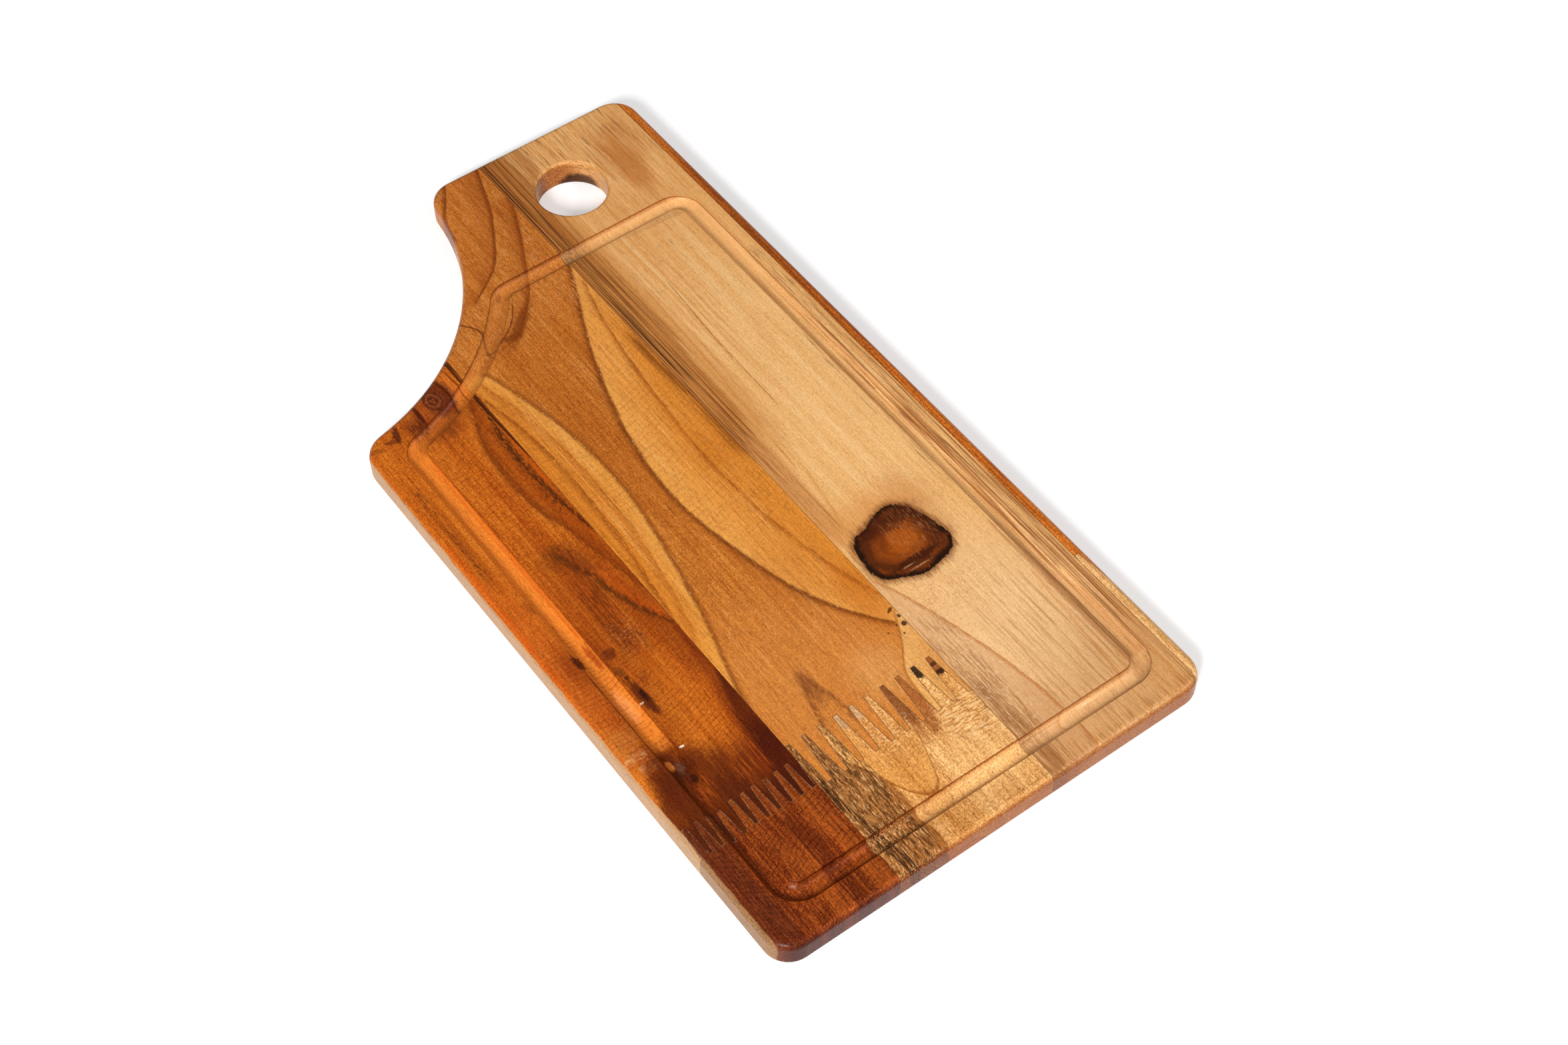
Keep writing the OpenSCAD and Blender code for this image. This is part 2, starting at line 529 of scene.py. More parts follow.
@dataclass(frozen=True)
class Band(Mark):
    """A band of another tone along the grain, with soft sides and frayed ends."""

    SIDE_WAVE: ClassVar[Wave] = Wave((6.0, 40.0, 6.0), seed=4.0)
    END_WAVE: ClassVar[Wave] = Wave((0.9, 60.0, 0.9), seed=8.0)
    END_SOFT: ClassVar[float] = 5.0
    END_SWAY: ClassVar[float] = 9.0

    wide: Point = (0.0, 0.0)
    long: Point = (0.0, 0.0)
    soft: float = 3.0
    lean: float = 0.0

    def cover(self, sheet: FinishSheet) -> Value:
        """Where the band shows.

        Args:
            sheet: The finish that it is drawn on.

        Returns:
            A share from 0 to 1.
        """
        soft_end = self.END_SOFT * self.soft
        up = sheet.math("SUBTRACT", sheet.y, self.long[0])
        x = sheet.math("MULTIPLY_ADD", up, -self.lean, sheet.x)
        x = sheet.sway(self.SIDE_WAVE, self.soft, x)
        y = sheet.sway(self.END_WAVE, self.END_SWAY * self.soft, sheet.y)
        return sheet.times(
            sheet.fade(x, self.wide[0] - self.soft, self.wide[0] + self.soft),
            sheet.fade(x, self.wide[1] + self.soft, self.wide[1] - self.soft),
            sheet.fade(y, self.long[0] - soft_end, self.long[0] + soft_end),
            sheet.fade(y, self.long[1] + soft_end, self.long[1] - soft_end))


@dataclass(frozen=True)
class Streaks(Band):
    """A bundle of fibres of another tone, which fills a share of a band; some bundles are painted
    highlights.
    """

    LEVEL_SPAN: ClassVar[Point] = (0.68, 0.36)
    LEVEL_EDGE: ClassVar[float] = 0.07

    grain: Point = (1.2, 60.0)
    share: float = 0.5

    def cover(self, sheet: FinishSheet) -> Value:
        """Where the fibres show.

        Args:
            sheet: The finish that it is drawn on.

        Returns:
            A share from 0 to 1.
        """
        inside = super().cover(sheet)
        fibres = sheet.noise(Wave((*self.grain, self.grain[0]), seed=self.wide[1]))
        level = self.LEVEL_SPAN[0] - self.LEVEL_SPAN[1] * self.share
        seen = sheet.fade(fibres, level - self.LEVEL_EDGE, level + self.LEVEL_EDGE)
        return sheet.times(inside, seen)


@dataclass(frozen=True)
class Patch(Mark):
    """A stain or a figure with a soft, uneven edge; some patches are painted highlights."""

    FINE_WAVE: ClassVar[Wave] = Wave((0.6, 1.7, 0.6), seed=6.0)
    FINE_SHARE: ClassVar[float] = 0.4
    ALL_HEIGHTS: ClassVar[Point] = (0.0, 1.0e4)

    at: Point = (0.0, 0.0)
    size: Point = (1.0, 1.0)
    soft: float = 0.6
    rough: float = 0.4
    turn: float = 0.0
    grain: Point = (2.5, 8.0)
    height: Point | None = None

    def cover(self, sheet: FinishSheet) -> Value:
        """Where the patch shows.

        Args:
            sheet: The finish that it is drawn on.

        Returns:
            A share from 0 to 1.
        """
        return self.inside(sheet, self.uneven_reach(sheet))

    def inside(self, sheet: FinishSheet, far: Value) -> Socket:
        """Where the patch is, with its soft edge.

        Args:
            sheet: The finish that it is drawn on.
            far: How far a place lies from the middle.

        Returns:
            A share from 0 to 1.
        """
        return sheet.fade(far, 1.0 + self.soft / 2.0, 1.0 - self.soft / 2.0)

    def uneven_reach(self, sheet: FinishSheet) -> Socket:
        """How far a place lies from the middle, made uneven by two noises.

        Args:
            sheet: The finish that it is drawn on.

        Returns:
            The distance in shares of the stain's own size.
        """
        far = sheet.sway(Wave((*self.grain, self.grain[0])), self.rough, self.reach(sheet))
        return sheet.sway(self.FINE_WAVE, self.FINE_SHARE * self.rough, far)

    def reach(self, sheet: FinishSheet) -> Socket:
        """How far a place lies from the middle, where 1 is the edge.

        Args:
            sheet: The finish that it is drawn on.

        Returns:
            The distance in shares of the stain's own size.
        """
        angle = math.radians(self.turn)
        level, tall = self.height or self.ALL_HEIGHTS
        off = sheet.vector("SUBTRACT", sheet.place, (*self.at, level))
        axes = ((math.cos(angle) / self.size[0], math.sin(angle) / self.size[0], 0.0),
                (-math.sin(angle) / self.size[1], math.cos(angle) / self.size[1], 0.0),
                (0.0, 0.0, 1.0 / tall))
        square = 0.0
        for axis in axes if self.height else axes[:2]:
            part = sheet.dot(off, axis)
            square = sheet.math("MULTIPLY_ADD", part, part, square)
        return sheet.math("SQRT", square)


@dataclass(frozen=True)
class Eye(Patch):
    """A small sound knot: dark rings round a lighter heart."""

    FINE_WAVE: ClassVar[Wave] = Wave((0.6, 1.4, 0.6), seed=6.0)
    FINE_SHARE: ClassVar[float] = 0.3
    RING_EDGE: ClassVar[Point] = (-0.6, 0.7)

    heart: Tone = (0.0, 0.0, 0.0)
    ringing: float = 9.0

    def lay(self, sheet: FinishSheet, colour: Value) -> Socket:
        """Draws the knot over a colour.

        Args:
            sheet: The finish that it is drawn on.
            colour: The colour so far.

        Returns:
            The colour with the knot on it.
        """
        far = self.uneven_reach(sheet)
        rings = sheet.fade(sheet.math("SINE", sheet.times(far, self.ringing)), *self.RING_EDGE)
        body = sheet.blend(rings, self.tint, self.heart)
        return sheet.blend(sheet.times(self.inside(sheet, far), self.strength), colour, body)


@dataclass(frozen=True)
class Knot(Patch):
    """The root of a branch: rings round a heart, inside a burnt, spiky rim with its own outline."""

    SPIKES: ClassVar[Wave] = Wave((0.7, 2.4, 0.7), seed=3.0)
    OUTLINE_EDGE: ClassVar[Point] = (-0.35, 0.25)
    FLAMES: ClassVar[Wave] = Wave((0.9, 9.0, 0.9), seed=5.0)
    FLAME_SHARE: ClassVar[float] = 2.4
    SCORCH_EDGE: ClassVar[Point] = (-4.0, 0.4)
    SCORCH_STRENGTH: ClassVar[float] = 0.75
    HEART_SIZE: ClassVar[Triple] = (7.0, 6.0, 7.0)
    HEART_EDGE: ClassVar[Point] = (0.6, 1.2)
    FINE_WAVE: ClassVar[Wave] = Wave((0.8, 3.0, 0.8), seed=6.0)
    FINE_SHARE: ClassVar[float] = 0.2
    RING_EDGE: ClassVar[Point] = (0.4, -0.9)
    RING_REACH: ClassVar[Point] = (0.45, 0.9)
    RING_STRENGTH: ClassVar[float] = 0.5
    RIM_WAVE: ClassVar[Wave] = Wave((7.0, 7.0, 7.0), seed=11.0)
    RIM_SWAY: ClassVar[float] = 1.6
    RIM_EDGE: ClassVar[Point] = (1.9, 0.45)

    heart: Tone = (0.0, 0.0, 0.0)
    wood: Tone = (0.0, 0.0, 0.0)
    scorch: Tone = (0.0, 0.0, 0.0)
    top: tuple[Point, ...] = ()
    foot: tuple[Point, ...] = ()
    left: tuple[Point, ...] = ()
    right: tuple[Point, ...] = ()
    corner: float = 5.0
    rim: float = 1.7
    spike: float = 1.1
    ringing: float = 7.5

    def lay(self, sheet: FinishSheet, colour: Value) -> Socket:
        """Draws the knot over a colour.

        Args:
            sheet: The finish that it is drawn on.
            colour: The colour so far.

        Returns:
            The colour with the knot on it.
        """
        deep = self.inset(sheet)
        spiky = sheet.sway(self.SPIKES, self.spike, deep)
        flame = sheet.sway(self.FLAMES, self.FLAME_SHARE * self.spike, deep)
        burnt = sheet.times(sheet.fade(flame, *self.SCORCH_EDGE), self.SCORCH_STRENGTH)
        colour = sheet.blend(burnt, colour, self.scorch)
        far = sheet.sway(Wave(self.HEART_SIZE, seed=self.at[0]), self.rough, self.reach(sheet))
        far = sheet.sway(self.FINE_WAVE, self.FINE_SHARE * self.rough, far)
        body = sheet.blend(sheet.fade(far, *self.HEART_EDGE), self.heart, self.wood)
        rings = sheet.fade(sheet.math("SINE", sheet.times(far, self.ringing)), *self.RING_EDGE)
        rings = sheet.times(rings, sheet.fade(far, *self.RING_REACH), self.RING_STRENGTH)
        body = sheet.blend(rings, body, self.tint)
        width = sheet.sway(self.RIM_WAVE, self.RIM_SWAY * self.rim, self.rim)
        edge = sheet.fade(sheet.math("DIVIDE", spiky, width), *self.RIM_EDGE)
        body = sheet.blend(edge, body, self.tint)
        whole = sheet.times(sheet.fade(spiky, *self.OUTLINE_EDGE), self.strength)
        return sheet.blend(whole, colour, body)

    def inset(self, sheet: FinishSheet) -> Socket:
        """How far a place lies inside the outline.

        Args:
            sheet: The finish that it is drawn on.

        Returns:
            The distance, which is negative outside.
        """
        gaps = (sheet.math("SUBTRACT", sheet.course(sheet.x, self.top), sheet.y),
                sheet.math("SUBTRACT", sheet.y, sheet.course(sheet.x, self.foot)),
                sheet.math("SUBTRACT", sheet.x, sheet.course(sheet.y, self.left)),
                sheet.math("SUBTRACT", sheet.course(sheet.y, self.right), sheet.x))
        deep = gaps[0]
        for gap in gaps[1:]:
            deep = sheet.math("SMOOTH_MIN", deep, gap, self.corner)
        return deep


@dataclass(frozen=True)
class Hatch(Mark):
    """Fine lines across the grain, where the rays of the wood were cut."""

    LONG_SIZE: ClassVar[Triple] = (13.0, 10.0, 13.0)
    LONG_SHARE: ClassVar[float] = 2.0
    FINE_WAVE: ClassVar[Wave] = Wave((1.6, 2.0, 1.6), seed=2.0)
    FINE_SHARE: ClassVar[float] = 0.25
    CLOUD_SIZE: ClassVar[Triple] = (5.0, 6.0, 5.0)

    pitch: float = 3.0
    slope: float = 0.0
    bow: float = 0.0
    middle: float = 0.0
    thin: float = 0.6
    waver: float = 0.5
    patchy: Point = (0.36, 0.56)
    window: Window = Window()

    def cover(self, sheet: FinishSheet) -> Value:
        """Where the lines show.

        Args:
            sheet: The finish that it is drawn on.

        Returns:
            A share from 0 to 1.
        """
        side = sheet.math("SUBTRACT", sheet.x, self.middle)
        level = sheet.math("MULTIPLY_ADD", side, -self.slope, sheet.y)
        level = sheet.math("MULTIPLY_ADD", sheet.times(side, side), -self.bow, level)
        far = self.waver * self.pitch
        level = sheet.sway(Wave(self.LONG_SIZE, seed=self.pitch), self.LONG_SHARE * far, level)
        level = sheet.sway(self.FINE_WAVE, self.FINE_SHARE * far, level)
        wave = sheet.math("SINE", sheet.times(level, 2.0 * math.pi / self.pitch))
        cloud = sheet.noise(Grain(self.CLOUD_SIZE, rough=0.6, seed=self.middle))
        return sheet.times(sheet.fade(wave, 1.0 - self.thin, 1.0), sheet.fade(cloud, *self.patchy),
                           self.window.share(sheet))


@dataclass(frozen=True)
class Groove(Mark):
    """A tone laid in the groove between some depths below the face; at the rim depths a dark line,
    partly router burn and partly painted shade.
    """

    depths: tuple[float, float, float, float] = (0.3, 1.3, 4.0, 5.0)
    window: Window = Window((-93.0, 93.5), (-189.0, 133.5), (0.5, 0.5))
    notch: Point = (-109.8, 195.5)
    clear: float = 113.0
    edge: float = 1.0

    def cover(self, sheet: FinishSheet) -> Value:
        """Where the tone shows.

        Args:
            sheet: The finish that it is drawn on.

        Returns:
            A share from 0 to 1.
        """
        start, full, last, end = self.depths
        flat = sheet.vector("MULTIPLY", sheet.place, (1.0, 1.0, 0.0))
        node = sheet.add("ShaderNodeVectorMath", operation="DISTANCE")
        sheet.plug(node.inputs[0], flat)
        sheet.plug(node.inputs[1], (*self.notch, 0.0))
        return sheet.times(sheet.fade(sheet.depth, start, full), sheet.fade(sheet.depth, end, last),
                           self.window.share(sheet),
                           sheet.fade(node.outputs["Value"], self.clear - self.edge, self.clear))


@dataclass(frozen=True)
class Ripple(Patch):
    """The ridges that a planer tore up where the grain turns, with painted shade at their feet and
    a painted highlight on their crests.
    """

    # Where the painted shade at the ridges' feet and the painted highlight on their crests begin
    # and end
    SHADED_FOOT_EDGE: ClassVar[Point] = (0.53, 0.6)
    HIGHLIGHT_CREST_EDGE: ClassVar[Point] = (0.48, 0.4)

    # Tone of the painted highlight on the crests; the tint is the painted shade at the feet
    crest_highlight: Tone = (0.0, 0.0, 0.0)
    ridge: Point = (4.5, 1.1)
    lift: float = 8.0

    def raise_on(self, sheet: FinishSheet, colour: Value, relief: Value) -> tuple[Socket, Socket]:
        """Adds the ridges to the relief and paints their shade and highlight into the colour.

        Args:
            sheet: The finish that they are drawn on.
            colour: The colour so far.
            relief: The fine relief so far.

        Returns:
            The colour and the relief with the ridges.
        """
        here = self.cover(sheet)
        wave = sheet.noise(Grain((*self.ridge, self.ridge[0]), rough=0.55, seed=2.0))
        # Painted shade at the feet of the ridges and a painted highlight on their crests
        foot = sheet.times(sheet.fade(wave, *self.SHADED_FOOT_EDGE), here, self.strength)
        crest_highlight = sheet.times(sheet.fade(wave, *self.HIGHLIGHT_CREST_EDGE), here, self.strength)
        colour = sheet.blend(crest_highlight, sheet.blend(foot, colour, self.tint), self.crest_highlight)
        return colour, sheet.math("MULTIPLY_ADD", sheet.times(wave, here), -self.lift, relief)


@dataclass(frozen=True)
class Wood:
    """The finish of one stave: oiled wood with its own tones and marks."""

    BROAD: ClassVar[Grain] = Grain((7.0, 150.0, 7.0), detail=3.0, rough=0.55)
    FIBRE: ClassVar[Grain] = Wave((0.8, 30.0, 0.8), seed=4.0)
    DASHES: ClassVar[Grain] = Grain((0.32, 4.5, 0.32), detail=1.0, seed=13.0)
    DASH_EDGE: ClassVar[Point] = (0.58, 0.72)
    BROAD_TONE: ClassVar[float] = 0.35
    FIBRE_TONE: ClassVar[float] = 0.3
    FLECK_TONE: ClassVar[float] = 0.35
    FIBRE_LIGHT: ClassVar[float] = 1.2
    FLECK_LIGHT: ClassVar[float] = 2.6
    MEAN_LIGHT: ClassVar[float] = 1.9
    RELIEF_SHARE: ClassVar[float] = 0.5
    GLOSS_EDGE: ClassVar[Point] = (0.3, 0.7)
    # The faces that look along the board are darkened, partly as end grain and partly as painted
    # shade
    END_FACING: ClassVar[Point] = (0.55, 0.98)
    END_DOTS: ClassVar[Grain] = Grain((0.55, 40.0, 0.55), detail=1.0, seed=21.0)
    END_DOT_EDGE: ClassVar[Point] = (0.5, 0.66)
    END_DARKNESS: ClassVar[Point] = (0.3, 0.62)
    END_WARMING: ClassVar[float] = 0.6

    slot: Slot
    dark: Tone
    mean: Tone
    light: Tone
    marks: tuple[Mark, ...] = ()
    pore: Tone = tone(110, 58, 22)
    pores: float = 0.35
    fleck: Point = (0.5, 0.9)
    spread: float = 0.1
    grit: float = 0.4
    ripples: tuple[Ripple, ...] = ()
    end_tone: Tone = tone(255, 238, 184)
    gloss: Point = (0.18, 0.4)
    shine: float = 0.13
    relief: float = 0.06

    def material(self) -> bpy.types.Material:
        """Makes the wood's material.

        Returns:
            The material.
        """
        sheet = FinishSheet(self.slot.value)
        broad = sheet.noise(self.BROAD)
        fibre = sheet.noise(self.FIBRE)
        fleck = sheet.noise(Grain((*self.fleck, self.fleck[0]), rough=0.6, seed=9.0))
        field = sheet.math("MULTIPLY", fibre, self.FIBRE_TONE)
        field = sheet.math("MULTIPLY_ADD", broad, self.BROAD_TONE, field)
        field = sheet.math("MULTIPLY_ADD", fleck, self.FLECK_TONE, field)
        darker = sheet.fade(field, NOISE_MIDDLE - self.spread, NOISE_MIDDLE)
        lighter = sheet.fade(field, NOISE_MIDDLE, NOISE_MIDDLE + self.spread)
        colour = sheet.blend(darker, self.dark, self.mean)
        colour = sheet.blend(lighter, colour, self.light)
        for mark in self.marks:
            colour = mark.lay(sheet, colour)
        pore = sheet.fade(sheet.noise(self.DASHES), *self.DASH_EDGE)
        colour = sheet.blend(sheet.times(pore, self.pores), colour, self.pore, "MULTIPLY")
        fine = sheet.math("MULTIPLY_ADD", fleck, self.FLECK_LIGHT, -self.MEAN_LIGHT)
        fine = sheet.math("MULTIPLY_ADD", fibre, self.FIBRE_LIGHT, fine)
        colour = sheet.scale(colour, sheet.math("MULTIPLY_ADD", fine, self.grit, 1.0))
        colour = self.end_grain_and_shade(sheet, colour)
        relief = sheet.times(fleck, self.RELIEF_SHARE)
        relief = sheet.math("MULTIPLY_ADD", fibre, self.RELIEF_SHARE, relief)
        relief = sheet.math("SUBTRACT", relief, sheet.times(pore, self.RELIEF_SHARE))
        for ripple in self.ripples:
            colour, relief = ripple.raise_on(sheet, colour, relief)
        gloss = sheet.between(sheet.fade(fleck, *self.GLOSS_EDGE), self.gloss)
        sheet.surface(colour, gloss, relief, self.relief, self.shine)
        return sheet.material

    def end_grain_and_shade(self, sheet: FinishSheet, colour: Value) -> Socket:
        """Darkens the cut ends of the fibres, partly as end grain and partly as painted shade, and
        dots them with pores.

        Args:
            sheet: The finish that is made.
            colour: The colour so far.

        Returns:
            The colour with its cut ends.
        """
        parts = sheet.add("ShaderNodeSeparateXYZ")
        sheet.plug(parts.inputs[0], sheet.add("ShaderNodeNewGeometry").outputs["Normal"])
        ends = sheet.fade(sheet.math("ABSOLUTE", parts.outputs[1]), *self.END_FACING)
        dots = sheet.fade(sheet.noise(self.END_DOTS), *self.END_DOT_EDGE)
        dark = sheet.math("MULTIPLY_ADD", dots, *self.END_DARKNESS)
        # Partly end grain, partly painted shade on the faces that look along the board
        cut = sheet.blend(dark, colour, self.pore, "MULTIPLY")
        cut = sheet.blend(self.END_WARMING, cut, self.end_tone, "MULTIPLY")
        return sheet.blend(ends, colour, cut)


@dataclass(frozen=True)
class Glue:
    """The finish of cured glue: a film with dirt and bright specks in it."""

    CLOUDS: ClassVar[Grain] = Wave((2.0, 9.0, 2.0))
    GRIT: ClassVar[Grain] = Grain((0.5, 0.9, 0.5), rough=0.6, seed=6.0)
    DIRT_EDGE: ClassVar[Point] = (0.4, 0.62)
    SPECK_EDGE: ClassVar[Point] = (0.54, 0.62)
    GLOSS_EDGE: ClassVar[Point] = (0.3, 0.7)

    slot: Slot
    film: Tone
    dirt: Tone
    speck: Tone
    specks: float
    gloss: Point = (0.25, 0.45)
    shine: float = 0.5
    relief: float = 0.03

    def material(self) -> bpy.types.Material:
        """Makes the glue's material.

        Returns:
            The material.
        """
        sheet = FinishSheet(self.slot.value)
        cloud = sheet.noise(self.CLOUDS)
        grit = sheet.noise(self.GRIT)
        colour = sheet.blend(sheet.fade(cloud, *self.DIRT_EDGE), self.film, self.dirt)
        specks = sheet.times(sheet.fade(grit, *self.SPECK_EDGE), self.specks)
        colour = sheet.blend(specks, colour, self.speck)
        gloss = sheet.between(sheet.fade(grit, *self.GLOSS_EDGE), self.gloss)
        sheet.surface(colour, gloss, grit, self.relief, self.shine)
        return sheet.material


@dataclass
class Stave:
    """A piece of wood of the panel, shaped as its solid."""

    node: str
    wood: Wood
    merge: float = 2.0e-6
    crease: float = 28.0
    flat_weight: int = 90

    def build(self) -> bpy.types.Object:
        """Makes the piece and puts it in the solid's place.

        Returns:
            The piece.
        """
        piece = self.skin()
        self.dress(piece)
        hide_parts(self.node)
        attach(piece, BODY)
        return piece

    def skin(self) -> bpy.types.Object:
        """Copies the solid's triangles and closes them to one smooth skin.

        Returns:
            The new piece.
        """
        solid = frame["nodes"][self.node]
        bpy.ops.object.select_all(action="DESELECT")
        solid.select_set(True)
        bpy.context.view_layer.objects.active = solid
        bpy.ops.object.duplicate()
        piece = bpy.context.active_object
        piece.name = f"{self.node}_wood"
        del piece["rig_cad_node"]
        bpy.ops.object.mode_set(mode="EDIT")
        bpy.ops.mesh.select_all(action="SELECT")
        bpy.ops.mesh.remove_doubles(threshold=self.merge)
        bpy.ops.object.mode_set(mode="OBJECT")
        bpy.ops.object.shade_smooth_by_angle(angle=math.radians(self.crease))
        even = piece.modifiers.new("even_shading", "WEIGHTED_NORMAL")
        even.keep_sharp = True
        even.weight = self.flat_weight
        bpy.ops.object.modifier_apply(modifier=even.name)
        return piece

    def dress(self, piece: bpy.types.Object) -> None:
        """Gives the piece its wood.

        Args:
            piece: The piece to dress.
        """
        piece.data.materials.clear()
        piece.data.materials.append(self.wood.material())


@dataclass
class GlueFilms:
    """The films of cured glue that share a finish. Their solids are shown as they are."""

    nodes: tuple[str, ...]
    glue: Glue

    def build(self) -> list[bpy.types.Object]:
        """Dresses the films.

        Returns:
            The films.
        """
        material = self.glue.material()
        films = [frame["nodes"][name] for name in self.nodes]
        for film in films:
            film.data.materials.clear()
            film.data.materials.append(material)
        return films


@dataclass(frozen=True)
class Lamp:
    """A soft square lamp that looks at the board. Its size is in metres and its power in watts."""

    name: str
    at: Triple
    power: float
    size: float

    def hang(self) -> None:
        """Hangs the lamp in its place."""
        bpy.ops.object.light_add(type="AREA", location=self.at)
        lamp = bpy.context.active_object
        lamp.name = self.name
        lamp.data.energy = self.power
        lamp.data.size = self.size
        lamp.rotation_euler = lamp.location.to_track_quat("Z", "Y").to_euler()


@dataclass
class Studio:
    """The floor, the light and the camera. Lengths are metres."""

    floor_size: float = 30.0
    floor_drop: float = 1.0e-4
    floor_share: float = 0.8
    floor_glow: Point = (0.4, 1.0)
    glow_reach: Point = (0.22, 0.6)
    sky: float = 0.22
    lamps: tuple[Lamp, ...] = (
        Lamp("key_lamp", (-1.42, -1.1, 1.31), 53.0, 0.5),
        Lamp("front_lamp", (0.97, -1.48, 1.47), 9.0, 0.25),
        Lamp("side_lamp", (1.7, -1.0, 1.22), 9.0, 0.25))
    lens: float = 60.225
    sensor: float = 36.0
    near: float = 0.01
    stand: Triple = (-0.351175, -0.550842, 0.830378)
    aim: Triple = (37.43190, 0.53008, -36.43799)

    def build(self) -> None:
        """Sets up the floor, the light, the camera and the view."""
        self.floor()
        self.light()
        self.camera()
        bpy.context.scene.view_settings.view_transform = "Standard"

    def floor(self) -> None:
        """Lays the pale floor, which the camera sees as white and which keeps the shadow."""
        bpy.ops.object.select_all(action="DESELECT")
        bpy.ops.mesh.primitive_plane_add(size=self.floor_size,
                                         location=(0.0, 0.0, -self.floor_drop))
        plane = bpy.context.active_object
        plane.name = "floor"
        sheet = FinishSheet("pale_floor")
        matt = sheet.add("ShaderNodeBsdfDiffuse")
        sheet.plug(matt.inputs["Color"], (self.floor_share,) * 3)
        glow = sheet.add("ShaderNodeEmission")
        ray = sheet.add("ShaderNodeLightPath")
        length = sheet.add("ShaderNodeVectorMath", operation="LENGTH")
        sheet.plug(length.inputs[0], sheet.place)
        far = sheet.fade(length.outputs["Value"], *(TO_MM * reach for reach in self.glow_reach))
        level = sheet.between(far, self.floor_glow)
        seen = ray.outputs["Is Camera Ray"]
        for name in ("Is Glossy Ray", "Is Transmission Ray"):
            seen = sheet.math("MAXIMUM", seen, ray.outputs[name])
        sheet.plug(glow.inputs["Strength"], sheet.times(seen, level))
        both = sheet.add("ShaderNodeAddShader")
        sheet.plug(both.inputs[0], matt.outputs[0])
        sheet.plug(both.inputs[1], glow.outputs[0])
        sheet.plug(sheet.add("ShaderNodeOutputMaterial").inputs["Surface"], both.outputs[0])
        plane.data.materials.append(sheet.material)

    def light(self) -> None:
        """Hangs the lamps and lifts the room's light."""
        for lamp in self.lamps:
            lamp.hang()
        world = bpy.data.worlds.new("studio")
        world.use_nodes = True
        bpy.context.scene.world = world
        nodes, links = world.node_tree.nodes, world.node_tree.links
        nodes.clear()
        room = nodes.new("ShaderNodeBackground")
        white = nodes.new("ShaderNodeBackground")
        room.inputs["Strength"].default_value = self.sky
        for background in (room, white):
            background.inputs["Color"].default_value = (1.0, 1.0, 1.0, 1.0)
        ray = nodes.new("ShaderNodeLightPath")
        pick = nodes.new("ShaderNodeMixShader")
        links.new(ray.outputs["Is Camera Ray"], pick.inputs[0])
        links.new(room.outputs[0], pick.inputs[1])
        links.new(white.outputs[0], pick.inputs[2])
        links.new(pick.outputs[0], nodes.new("ShaderNodeOutputWorld").inputs["Surface"])

    def camera(self) -> None:
        """Puts the camera where the board was seen from."""
        bpy.ops.object.camera_add(location=self.stand,
                                  rotation=tuple(math.radians(angle) for angle in self.aim))
        eye = bpy.context.active_object
        eye.name = "camera"
        eye.data.lens = self.lens
        eye.data.sensor_width = self.sensor
        eye.data.clip_start = self.near
        bpy.context.scene.camera = eye


# Woods

FIRST_RING = ((-51.0, 84.0), (-54.5, 75.0), (-57.5, 66.0), (-60.3, 53.0), (-61.0, 40.0),
              (-60.3, 27.0), (-58.0, 15.0), (-55.0, 4.0), (-52.5, -10.0), (-50.0, -22.0),
              (-47.5, -34.0))
STAIN_LINE = ((-66.0, -4.0), (-62.5, -12.0), (-60.0, -20.0), (-58.3, -30.0), (-55.5, -39.0),
              (-52.0, -47.0), (-47.5, -55.0))
LEFT_GROOVE = Window((-93.0, -47.0), (-100.0, 100.0), (0.5, 3.0))
# Depths of the dark line along the groove's edges, partly router burn and partly painted shade
RIM_BURN_AND_SHADE_DEPTHS = (0.02, 0.2, 0.35, 0.9)

